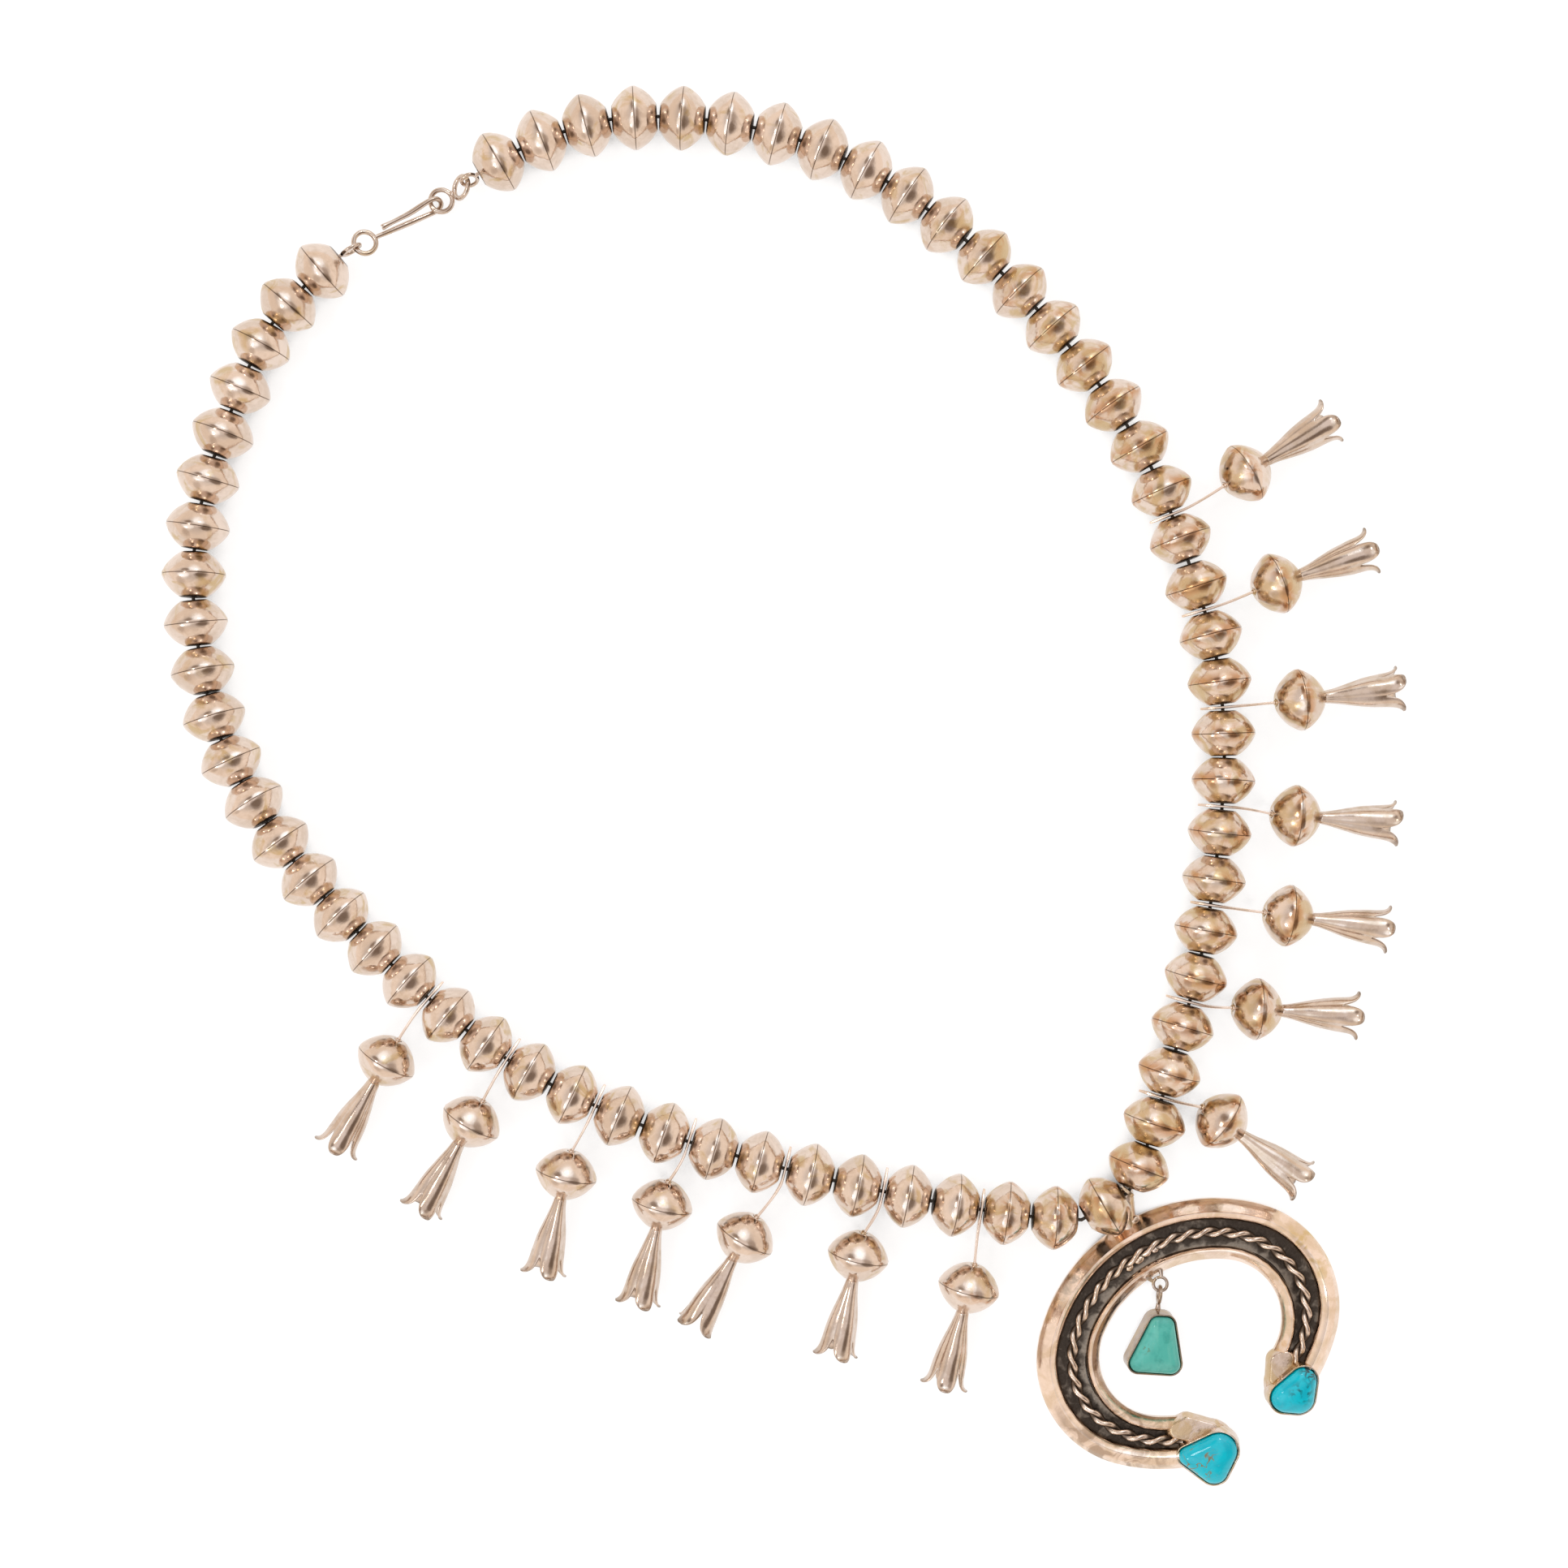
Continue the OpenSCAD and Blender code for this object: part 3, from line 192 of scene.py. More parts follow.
@labelled
class NecklaceCrescent(bpy.types.PropertyGroup):
    """Sizes of the crescent, its settings and the drop."""

    half_width: length(31.6, "Half of the crescent's width")
    half_height: length(25.4, "Half of the crescent's height")
    side_radius: length(21, "Radius of the crescent's outer sides")
    hollow_half_width: length(19.2, "Half width of the opening inside")
    hollow_half_height: length(14.3, "Half height of the opening inside")
    hollow_side_radius: length(12, "Radius of the opening's sides")
    hollow_drop: length(1, "Drop of the opening's middle")
    outer_rim: length(4.2, "Width of the outer rim")
    inner_rim: length(2.7, "Width of the inner rim")
    outer_ridge: length(3.4, "Height of the outer rim's ridge")
    inner_ridge: length(3, "Height of the inner rim's ridge")
    rim_edge: length(1.5, "Height of the rims' outside edges")
    floor_height: length(1.2, "Height of the channel's floor")
    arm_left: length(9.3, "Distance of the left arm's end from the middle")
    arm_right: length(12.6, "Distance of the right arm's end from the middle")
    twist_wire: length(1.12, "Thickness of each twisted wire")
    half_turn: length(3.588, "Length of half a turn of the twist")
    turn: angle(31, "Turn of the crescent on the surface")
    bail_side: length(4.1, "Shift of the thread hole to the crescent's right")
    bail_rise: length(5.9, "Rise of the thread hole above the crescent's top")
    bezel_wall: length(0.45, "Wall of a bezel")
    stone_gap: length(0.12, "Space between a stone and its bezel")
    tip_seat: length(2.2, "Height of a tip seat above the surface")
    tip_bezel: length(1.7, "Height of a tip bezel above its seat")
    drop_bezel: length(3.4, "Height of the drop's bezel")
    drop_floor: length(0.8, "Floor of the drop's bezel")
    drop_height: length(2.1, "Height of the drop's middle above the surface")
    ring_width: length(3.4, "Outer width of the ring below the crescent's top")
    ring_wire: length(0.65, "Wire of that ring")
    link_width: length(4, "Outer length of the drop's link")
    link_wire: length(0.8, "Wire of the drop's link")
    drop_reach: length(9.1, "Distance from the link's middle to the drop's middle")
    drop_swing: angle(-37, "Swing of the drop from the crescent's middle line")


@labelled
class NecklaceClasp(bpy.types.PropertyGroup):
    """Sizes of the clasp."""

    wire: length(1, "Wire of the hook and of the catch")
    ring_width: length(5.4, "Outer width of the eye and of the catch's rings")
    left_loop: length(4.8, "Outer width of the left end loop")
    right_loop: length(3.9, "Outer width of the right end loop")
    loop_wire: length(0.8, "Wire of the end loops")
    link_gap: length(0.16, "Space between two linked wires")
    stem: length(2, "Length of an end loop's stem inside its bead")
    hook_span: length(3.4, "Distance between the hook's two legs")
    hook_back: length(10.5, "Length of the hook's short leg")
    hook_rise: length(1.2, "Rise of the short leg's tip")
    hook_ball: length(1.35, "Ball at the short leg's tip")
    hook_roll: angle(55, "Roll of the hook's plane about its long leg")
    left_slope: angle(14, "Downward slope of the left end loop")
    right_slope: angle(25, "Downward slope of the right end loop")
    right_roll: angle(56, "Roll of the right end loop")
    catch_roll: angle(-28, "Roll of the catch's raised ring")
    catch_lean: angle(40, "Lean of the catch's raised ring")


@labelled
class NecklaceColours(bpy.types.PropertyGroup):
    """Colours of the metals and the stones."""

    silver: colour((0.77, 0.632, 0.535), "Rubbed silver")
    dull: colour((0.61, 0.47, 0.365), "Silver that has dulled")
    gold: colour((0.56, 0.39, 0.18), "First tarnish of silver")
    rust: colour((0.52, 0.25, 0.10), "Deeper tarnish beside the seams")
    # This dark colour also paints shade, at the bead ends in the gaps and on the lower wires of the
    # twist.
    grime: colour((0.07, 0.045, 0.028), "Dirt round holes and joints")
    oxide: colour((0.06, 0.045, 0.034), "Blackened floor of the channel")
    sky: colour((0.0, 0.54, 0.66), "Blue stones")
    deep: colour((0.0, 0.40, 0.52), "Deeper blue in the stones")
    green: colour((0.10, 0.50, 0.42), "Stone of the drop")
    matrix: colour((0.22, 0.14, 0.05), "Brown veins of the stones")
    thread: colour((0.05, 0.04, 0.035), "Thread through the beads")
    surface: colour((0.32, 0.32, 0.32), "Surface below the necklace")


class Wire:
    """A shader value. Arithmetic on it adds the Math nodes."""

    def __init__(self, shader, socket):
        self.shader, self.socket = shader, socket

    def math(self, operation, *terms):
        """A Math node of these terms."""
        return self.shader.node("Math", {"operation": operation}, dict(enumerate(terms)))

    def __add__(self, other):
        return self.math("ADD", self, other)

    def __sub__(self, other):
        return self.math("SUBTRACT", self, other)

    def __rsub__(self, other):
        return self.math("SUBTRACT", other, self)

    def __mul__(self, other):
        return self.math("MULTIPLY", self, other)

    def __abs__(self):
        return self.math("ABSOLUTE", self)

    __radd__ = __add__
    __rmul__ = __mul__


class Shader:
    """A node tree of a material or of the world."""

    def __init__(self, owner):
        owner.use_nodes = True
        self.owner, self.tree = owner, owner.node_tree
        self.tree.nodes.clear()

    def node(self, kind, settings=None, sockets=None, output=0):
        """One node of a kind, its settings, then the values or links of its sockets."""
        made = self.tree.nodes.new("ShaderNode" + kind)
        for key, value in (settings or {}).items():
            setattr(made, key, value)
        for key, value in (sockets or {}).items():
            if isinstance(value, Wire):
                self.tree.links.new(value.socket, made.inputs[key])
            else:
                made.inputs[key].default_value = value
        return Wire(self, made.outputs[output]) if len(made.outputs) else None

    def mix(self, share, first, second):
        """A colour between two others."""
        paints = [c if isinstance(c, Wire) else (*c, 1) for c in (first, second)]
        return self.node("Mix", {"data_type": "RGBA"}, {0: share, 6: paints[0], 7: paints[1]}, 2)

    def rise(self, value, low, high, top=1.0):
        """0 below low, top above high and smooth between them."""
        return self.node(
            "MapRange", {"interpolation_type": "SMOOTHSTEP"},
            {"Value": value, "From Min": low, "From Max": high, "To Min": 0.0, "To Max": top},
        )

    def place(self):
        """A point's own place on its piece."""
        return self.node("TexCoord", output=3)

    def noise(self, at, size, detail=3, warp=0):
        """Noise whose lumps are about a size across, in metres."""
        return self.node(
            "TexNoise", {}, {"Vector": at, "Scale": 1 / size, "Detail": detail, "Distortion": warp},
        )

    def along(self, at, axis):
        """One axis of a place."""
        return self.node("SeparateXYZ", {}, {0: at}, "XYZ".index(axis))

    def near(self, at, point, radius):
        """1 at a point and 0 beyond a radius from it."""
        gap = self.node("VectorMath", {"operation": "DISTANCE"}, {0: at, 1: point}, 1)
        return 1 - self.rise(gap, 0.35 * radius, radius)

    def bump(self, height, depth, under=None):
        """Relief of a depth, on top of another relief."""
        sockets = {"Height": height, "Strength": 1.0, "Distance": depth}
        if under is not None:
            sockets["Normal"] = under
        return self.node("Bump", {}, sockets)

    def marked(self, name):
        """A number that mark has given each vertex."""
        return self.node("Attribute", {"attribute_name": name}, output=2)

    def finish(self, sockets):
        """The surface with these sockets, and the material it belongs to."""
        surface = self.node("BsdfPrincipled", {}, sockets)
        self.node("OutputMaterial", {}, {"Surface": surface})
        return self.owner


def shader_of(name):
    """The nodes of a new material."""
    return Shader(bpy.data.materials.new(name))


def silver(
    name, tarnish=0.5, warm=0.3, shine=0.12, scratch=0.5, blotch=9 * MM, light=1.0, stains=(),
):
    """Worn silver: rubbed and dull patches, golden and rusty tarnish, dark seam lines, and soiling
    with painted shade where the piece is marked for it.
    """
    paint, s = values("colours"), shader_of(name)
    at = s.place()
    side = s.rise(s.along(at, "X"), 15 * MM, 60 * MM)
    fine = s.noise(at, 1.6 * MM, 4, 0.8)
    dull = s.rise(s.noise(at, blotch, 4, 0.4) * 0.65 + fine * 0.35, 0.40, 0.62, tarnish)
    tones = (tuple(min(1, light * c) for c in tone) for tone in (paint.silver, paint.dull))
    base = s.mix(dull, *tones)
    golden = s.rise(s.noise(at, 5.5 * MM, 5, 1.2) + side * 0.09, 0.52, 0.70, min(1.0, 2.2 * warm))
    base = s.mix(golden, base, paint.gold)
    for x, y, radius, tone in stains:
        near = s.near(at, (x * MM, y * MM, 3 * MM), radius * MM)
        mottled = s.rise(s.noise(at, 3 * MM, 5, 1.0), 0.40, 0.62) * near
        base = s.mix(mottled * 0.8, base, tone)
    seam = s.marked("seam")
    by_seam = 1 - s.rise(seam, 0.35, 2.3)
    rusty = by_seam * s.rise(s.noise(at, 3.4 * MM, 4, 1.0) + side * 0.14, 0.58, 0.70, 0.85)
    base = s.mix(rusty * (side * 0.75 + 0.12), base, paint.rust)
    line = 1 - s.rise(seam, 0.03, 0.17)
    # Soiling and painted shade: the dark colour goes where the piece's mark is high, at bead ends
    # in the gaps and low on the twist.
    shaded_grime = s.rise(s.marked("soot") + fine * 0.35, 0.55, 1.05)
    base = s.mix(line.math("MAXIMUM", line * 0.5, shaded_grime * 0.9), base, paint.grime)
    rough = s.rise(fine, 0.35, 0.75, 0.12) + golden * 0.10 + shaded_grime * 0.3 + shine
    grain = s.bump(s.noise(at, 0.35 * MM, 3), 0.012 * scratch * MM)
    return s.finish({
        "Base Color": base, "Metallic": 1.0, "Roughness": rough,
        "Normal": s.bump(s.noise(at, 2.4 * MM, 3), 0.10 * scratch * MM, grain),
    })


def blackened(name):
    """The channel's floor: black oxide, with grey where it has been rubbed."""
    s = shader_of(name)
    at = s.place()
    worn = s.rise(s.noise(at, 2.2 * MM, 6, 0.6) + s.marked("worn") * 0.3, 0.50, 0.78, 0.9)
    grain = s.noise(at, 0.5 * MM, 5)
    return s.finish({
        "Base Color": s.mix(worn, values("colours").oxide, (0.30, 0.25, 0.20)), "Metallic": 0.75,
        "Roughness": s.rise(grain, 0.3, 0.7, 0.25) + 0.36, "Normal": s.bump(grain, 0.12 * MM),
    })


def polished(name, body, deep, marks):
    """A polished stone: clouded colour, and its own marks painted over it."""
    s = shader_of(name)
    at = s.place()
    cloud = s.rise(s.noise(at, 3.2 * MM, 5, 0.8), 0.38, 0.68)
    speck = s.rise(s.noise(at, 0.7 * MM, 3), 0.55, 0.80, 0.25)
    base = s.mix(speck, s.mix(cloud * 0.6, body, deep), tuple(0.8 * c + 0.12 for c in body))
    for share, tone in marks(s, at):
        base = s.mix(share, base, tone)
    return s.finish({
        "Base Color": base, "Roughness": s.rise(speck, 0.0, 0.5, 0.1) + 0.25, "IOR": 1.5,
        "Specular IOR Level": 0.0, "Coat Weight": 1.0, "Coat Roughness": 0.06, "Coat IOR": 1.5,
        "Normal": s.bump(s.noise(at, 1.8 * MM, 3), 0.05 * MM),
    })


def veined(at_point):
    """Thin crooked brown veins round a point of the stone."""
    def marks(s, at):
        paint, near = values("colours"), s.near(at, at_point, 5 * MM)
        web = abs(s.noise(at, 5 * MM, 3, 1.6) - 0.5)
        vein = (1 - s.rise(web, 0.012, 0.03)) * near
        edge = (1 - s.rise(web, 0.02, 0.06)) * near
        return [(edge * 0.3, paint.green), (vein * 0.95, paint.matrix)]
    return marks


def spotted(spots_at, edge_at):
    """Dark green spots round one point and dark matrix at one edge."""
    def marks(s, at):
        spots = s.rise(s.noise(at, 1.7 * MM, 2, 0.4), 0.45, 0.55) * s.near(at, spots_at, 3.2 * MM)
        crust = s.rise(s.noise(at, 1.1 * MM, 4, 0.6), 0.42, 0.58) * s.near(at, edge_at, 3.0 * MM)
        return [(spots * 0.8, (0.004, 0.10, 0.11)), (crust * 0.9, (0.02, 0.022, 0.016))]
    return marks


def streaked(speck_at):
    """Pale slanting streaks and one brown speck."""
    def marks(s, at):
        turned = s.node(
            "Mapping", {}, {"Vector": at, "Rotation": (0, 0, radians(24)), "Scale": (1, 0.22, 1)},
        )
        streak = s.rise(s.noise(turned, 1.9 * MM, 4, 0.6), 0.5, 0.72, 0.55)
        speck = s.rise(s.noise(at, 0.8 * MM, 3), 0.5, 0.62) * s.near(at, speck_at, 1.5 * MM)
        return [(streak, (0.16, 0.56, 0.46)), (speck * 0.7, (0.12, 0.16, 0.05))]
    return marks


def spun_thread(name):
    """Waxed thread: fine bands of dark fibre."""
    s = shader_of(name)
    strands = s.noise(s.place(), 0.25 * MM, 4, 1.0)
    return s.finish({
        "Base Color": s.mix(strands, values("colours").thread, (0.16, 0.13, 0.10)),
        "Roughness": 0.75, "Normal": s.bump(strands, 0.1 * MM),
    })


def clear():
    """Object mode, with nothing selected."""
    if bpy.context.object and bpy.context.object.mode != "OBJECT":
        bpy.ops.object.mode_set(mode="OBJECT")
    bpy.ops.object.select_all(action="DESELECT")


def take(obj):
    """One piece selected and active."""
    clear()
    obj.select_set(True)
    bpy.context.view_layer.objects.active = obj


def settle(obj):
    """The object's place goes into its mesh."""
    take(obj)
    bpy.ops.object.transform_apply(location=True, rotation=True, scale=True)
    return obj


def link(obj):
    """Puts an object into the scene."""
    bpy.context.scene.collection.objects.link(obj)
    return obj


def edit(obj):
    """One piece, open for edit with all of it selected."""
    take(obj)
    bpy.ops.object.mode_set(mode="EDIT")
    bpy.ops.mesh.select_all(action="SELECT")


def begin(add, **settings):
    """A primitive at its size and place, open for edit with all of it selected."""
    clear()
    add(**settings)
    edit(settle(bpy.context.object))


def begin_ring(x, radius, sides, y=0):
    """A ring round X, open for edit, for a tube or a wire that is pulled out of it."""
    begin(
        bpy.ops.mesh.primitive_circle_add, vertices=sides, radius=radius,
        location=(x, y, 0), rotation=(0, pi / 2, 0),
    )


def pick(test, kind="verts"):
    """Selects the vertices, edges or faces whose middle passes a test."""
    mesh = bpy.context.edit_object.data
    work = bmesh.from_edit_mesh(mesh)
    mode = {"verts": "VERT", "edges": "EDGE", "faces": "FACE"}[kind]
    bpy.ops.mesh.select_mode(type=mode)
    bpy.ops.mesh.select_all(action="DESELECT")
    for part in getattr(work, kind):
        if kind == "verts":
            chosen = test(part.co)
        elif kind == "edges":
            chosen = all(test(v.co) for v in part.verts)
        else:
            chosen = test(part.calc_center_median(), part.normal)
        part.select_set(bool(chosen))
    work.select_flush_mode()
    bmesh.update_edit_mesh(mesh)
    bpy.ops.mesh.select_mode(type=mode)


def pull(step, grow=(1, 1, 1), about=(0, 0, 0)):
    """Extrudes what is selected by a step, then scales it about a point."""
    bpy.ops.mesh.extrude_region_move(TRANSFORM_OT_translate={"value": step})
    if tuple(grow) != (1, 1, 1):
        bpy.ops.transform.resize(value=grow, center_override=about)


def trace(points, closed=False):
    """Edges through the points, drawn by pulling one vertex along."""
    begin(bpy.ops.mesh.primitive_plane_add, size=MM, location=points[0])
    bpy.ops.mesh.merge(type="CENTER")
    for start, end in zip(points, points[1:]):
        pull(tuple(Vector(end) - Vector(start)))
    if closed:
        first, last = Vector(points[0]), Vector(points[-1])
        pick(lambda co: min((co - first).length, (co - last).length) < 1e-7)
        bpy.ops.mesh.edge_face_add()
    bpy.ops.mesh.select_all(action="SELECT")


def seal(name, smooth=35, fill=True):
    """Merges doubles, closes open ends, turns the faces outwards and leaves edit mode."""
    bpy.ops.mesh.select_all(action="SELECT")
    bpy.ops.mesh.remove_doubles(threshold=1e-6)
    if fill:
        bpy.ops.mesh.fill_holes(sides=0)
    bpy.ops.mesh.select_all(action="SELECT")
    bpy.ops.mesh.normals_make_consistent(inside=False)
    bpy.ops.object.mode_set(mode="OBJECT")
    obj = bpy.context.object
    obj.name = name
    take(obj)
    bpy.ops.object.shade_smooth_by_angle(angle=radians(smooth))
    return obj


def modified(obj, kind, **settings):
    """One modifier, applied."""
    take(obj)
    modifier = obj.modifiers.new(kind.title(), kind)
    for key, value in settings.items():
        setattr(modifier, key, value)
    bpy.ops.object.modifier_apply(modifier=modifier.name)
    return obj


def dented(obj, depth, size):
    """Soft dents of a size over the whole piece."""
    texture = bpy.data.textures.new(obj.name + "_dents", "CLOUDS")
    texture.noise_scale = size
    return modified(obj, "DISPLACE", texture=texture, strength=depth, mid_level=0.5)


def rounded(obj, width, segments, limit=30):
    """Edges sharper than a limit, in degrees, rounded off."""
    return modified(obj, "BEVEL", width=width, segments=segments, angle_limit=radians(limit))


def moved(obj, matrix):
    """The mesh moved, its object left at the origin."""
    obj.data.transform(matrix)
    return obj


def copied(source, matrix):
    """A copy with its own mesh, at its place."""
    copy = source.copy()
    copy.data = source.data.copy()
    return moved(link(copy), matrix)


def joined(parts, name):
    """The parts as one piece."""
    clear()
    for part in parts:
        part.select_set(True)
    bpy.context.view_layer.objects.active = parts[0]
    if len(parts) > 1:
        bpy.ops.object.join()
    parts[0].name = parts[0].data.name = name
    return parts[0]


def painted(obj, material):
    """The piece with this material alone."""
    obj.data.materials.clear()
    obj.data.materials.append(material)
    return obj


def mark(obj, name, value):
    """A number at each vertex, from its place, for a pattern that follows the surface."""
    numbers = np.array([value(v.co) for v in obj.data.vertices], np.float32)
    layer = obj.data.attributes.get(name) or obj.data.attributes.new(name, "FLOAT", "POINT")
    layer.data.foreach_set("value", numbers)
    return obj


def plain(obj):
    """Marks a part as far from any bead's seam."""
    return mark(obj, "seam", lambda p: 9.0)


def dressed(piece, slot, *nodes):
    """The piece rides on the root and stands for its nodes, which are hidden; its slot is not used.
    """
    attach(piece, "root")
    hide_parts(*nodes)


def swing(radians_, axis="Z"):
    """A turn in radians about an axis."""
    return Matrix.Rotation(radians_, 4, axis)


def turn(degrees_, axis="Z"):
    """A turn in degrees about an axis."""
    return swing(radians(degrees_), axis)


def shift(x, y, z=0):
    """A move, as a matrix."""
    return Matrix.Translation((x, y, z))


def ray(angle_):
    """A flat direction at an angle."""
    return Vector((cos(angle_), sin(angle_), 0))


def heading_of(way):
    """The angle of a flat direction."""
    return atan2(way.y, way.x)


def bead_outline(width, long):
    """Half of a bead's outline from its seam to its hole, as distance along and radius."""
    size = values("beads")
    big, small = size.dome_radius, size.shoulder_radius
    top = width / 2 + size.seam_wear
    dome = (top - big * sin(size.seam_slope), -big * cos(size.seam_slope))
    turn_x = long / 2 - small
    shoulder = dome[0] + sqrt((big - small) ** 2 - (turn_x - dome[1]) ** 2)
    meet = dome[1] + big * (turn_x - dome[1]) / (big - small)
    flat = dome[1] + sqrt(big**2 - (width / 2 - dome[0]) ** 2)
    rows = [(0, width / 2 - 0.07 * MM), (0.07 * MM, width / 2)]
    for k in range(12):
        x = flat + (meet - flat) * (k / 11) ** 0.8
        rows.append((x, dome[0] + sqrt(big**2 - (x - dome[1]) ** 2)))
    start = asin((meet - turn_x) / small)
    for k in range(1, 7):
        a = start + (pi / 2 - start) * k / 6
        rows.append((turn_x + small * sin(a), shoulder + small * cos(a)))
    return rows + [(long / 2, size.hole / 2)]


def modelled_bead(name, width, long, sides=56):
    """A bead of two domes along X, drilled through, from its outline spun round."""
    half = bead_outline(width, long)
    outline = [(-x, r) for x, r in reversed(half)] + half[1:]
    trace([(x, 0, r) for x, r in outline], closed=True)
    bpy.ops.mesh.spin(steps=sides, angle=tau, center=(0, 0, 0), axis=(1, 0, 0))
    bead = seal(name, smooth=38, fill=False)
    mark(bead, "seam", lambda p: abs(p[0]) / MM)
    # Painted shade at both ends of a bead, where it meets its neighbours in the gaps, together with
    # soiling round the hole.
    mark(bead, "soot", lambda p: 0.8 * max(0, (abs(p[0]) - 0.46 * long) / (0.04 * long)))
    return bead


def bead_places(node, near):
    """Middles and directions of a string's beads, in order from the one nearest a point."""
    copy = copied(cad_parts[node], Matrix())
    copy.parent = None
    edit(copy)
    bpy.ops.mesh.remove_doubles(threshold=1e-6)
    bpy.ops.mesh.separate(type="LOOSE")
    bpy.ops.object.mode_set(mode="OBJECT")
    found = []
    for part in list(bpy.context.selected_objects):
        co = np.array([v.co for v in part.data.vertices])
        middle = (co.min(0) + co.max(0)) / 2
        flat = co[:, :2] - middle[:2]
        _, ways = np.linalg.eigh(flat.T @ flat)
        spans = [np.ptp(flat @ ways[:, k]) for k in (0, 1)]
        way = ways[:, int(np.argmin(spans))]
        found.append((Vector(middle), Vector((way[0], way[1], 0))))
        bpy.data.objects.remove(part)
    ordered, here = [], Vector(near)
    while found:
        nearest = min(found, key=lambda place: (place[0] - here).length)
        found.remove(nearest)
        here = nearest[0]
        ordered.append(nearest)
    return ordered


def middle_of(node):
    """Middle of a node's box."""
    low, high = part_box(node)
    return (low + high) / 2


def string_places():
    """All beads from the clasp's right end to its left end, each pointing along the string."""
    if not _places:
        right = bead_places("bead_string_right", middle_of("end_loop_right"))
        left = bead_places("bead_string_left", middle_of("end_loop_left"))
        run = right + left[::-1]
        middles = [place[0] for place in run]
        for k, (middle, way) in enumerate(run):
            ahead = middles[min(k + 1, len(run) - 1)] - middles[max(k - 1, 0)]
            _places.append((middle, way if way.dot(ahead) > 0 else -way))
    return _places


_places = []


def joint(k):
    """Point and direction of the thread between bead k and the next one."""
    half = values("beads").bead_length / 2
    (here, way), (there, onward) = string_places()[k - 1 : k + 1]
    return (here + half * way + there - half * onward) / 2, heading_of(way + onward)


class NECKLACE_OT_beads(bpy.types.Operator):
    """Both strings of hollow beads"""

    bl_idname = "necklace.beads"
    bl_label = "Bead Strings"

    def execute(self, context):
        size = values("beads")
        bead = modelled_bead("bead", size.bead_width, size.bead_length)
        metal = silver("bead_silver", tarnish=0.7, warm=0.34, shine=0.10)
        places = string_places()
        for name, run in (
            ("bead_string_right", places[:RIGHT_BEADS]), ("bead_string_left", places[RIGHT_BEADS:]),
        ):
            parts = []
            for k, (middle, way) in enumerate(run):
                sway = turn(2.2 * sin(2.4 * k), "Y") @ turn(137.5 * k, "X")
                parts.append(copied(bead, shift(*middle) @ swing(heading_of(way)) @ sway))
            string = joined(parts, name + "_dressed")
            dented(string, size.dent_depth, 4.5 * MM)
            dented(string, 0.04 * MM, 1.6 * MM)
            dressed(painted(string, metal), "bead_silver", name)
        bpy.data.objects.remove(bead)
        thread = painted(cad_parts["thread"], spun_thread("waxed_thread"))
        return {"FINISHED"}


RING_SIDES = 32


def crease_gap(co):
    """Steps of the ring from a point to the nearest crease between petals."""
    around = degrees(atan2(co.z, co.y)) % 90
    return round(abs(around - 45) * RING_SIDES / 360)


def fold_creases(depth):
    """Presses the creases of a tube along X towards its axis."""
    for gap, share in enumerate((1.0, 0.62, 0.3, 0.08)):
        pick(lambda co, gap=gap: crease_gap(co) == gap)
        press = 1 - depth * share
        bpy.ops.transform.resize(value=(1, press, press), center_override=(0, 0, 0))


def modelled_tube(length_, flare, depth):
    """The flower's closed part: rings pulled out from the neck, then creased."""
    x, r = TUBE_ROWS[0][0] * length_, TUBE_ROWS[0][1] * flare
    begin_ring(x, r, RING_SIDES)
    for share, wide in TUBE_ROWS[1:]:
        step, grow = share * length_ - x, wide * flare / r
        pull((step, 0, 0), (1, grow, grow), (x + step, 0, 0))
        x, r = x + step, wide * flare
    fold_creases(depth)
    return seal("tube", smooth=60, fill=False)


def modelled_petal(length_, flare, tip_flare, depth):
    """One petal on top of the tube's mouth, pulled forward, narrowed and curled out."""
    share, mouth = TUBE_ROWS[-1]
    x, out, width = share * length_, mouth * flare, 1
    begin_ring(x, out, RING_SIDES)
    fold_creases(depth)
    pick(lambda co: abs(degrees(atan2(co.y, co.z))) > 45.5)
    bpy.ops.mesh.delete(type="VERT")
    bpy.ops.mesh.select_all(action="SELECT")
    for share, wide, narrow in PETAL_ROWS:
        before, step = out, share * length_ - x
        out = mouth * flare + (wide - mouth) / (1 - mouth) * (tip_flare - mouth * flare)
        pull((step, 0, out - before), (1, narrow / width, 1))
        bpy.ops.transform.resize(value=(1, 1, 0.82), center_override=(0, 0, out))
        x, width = x + step, narrow
    return seal("petal", smooth=60, fill=False)


def modelled_flower(name, row, drop):
    """Tube and four curled petals along X. A petal that points down stays above the surface."""
    size = values("beads")
    long, flare, depth = size.flower_length, size.flower_flare, 0.17
    parts = [modelled_tube(long, flare, depth)]
    for k in range(4):
        way = radians(90 * k + row[3])
        down = -cos(way)
        most = (drop - 0.35 * MM) / down if down > 0.05 else flare
        petal = modelled_petal(long, flare, min(flare, most), depth)
        parts.append(moved(petal, turn(-90 * k, "X")))
    edit(joined(parts, name))
    flower = seal(name, smooth=60, fill=False)
    modified(flower, "SOLIDIFY", thickness=size.petal_thick, offset=-1, use_even_offset=True)
    modified(flower, "SUBSURF", levels=1, render_levels=1)
    # Darker towards the petal tips, over the last fifth of the flower's length.
    mark(flower, "soot", lambda p: 0.66 * max(0, p.x / long - 0.8) / 0.2)
    return moved(plain(flower), turn(-row[3], "X"))


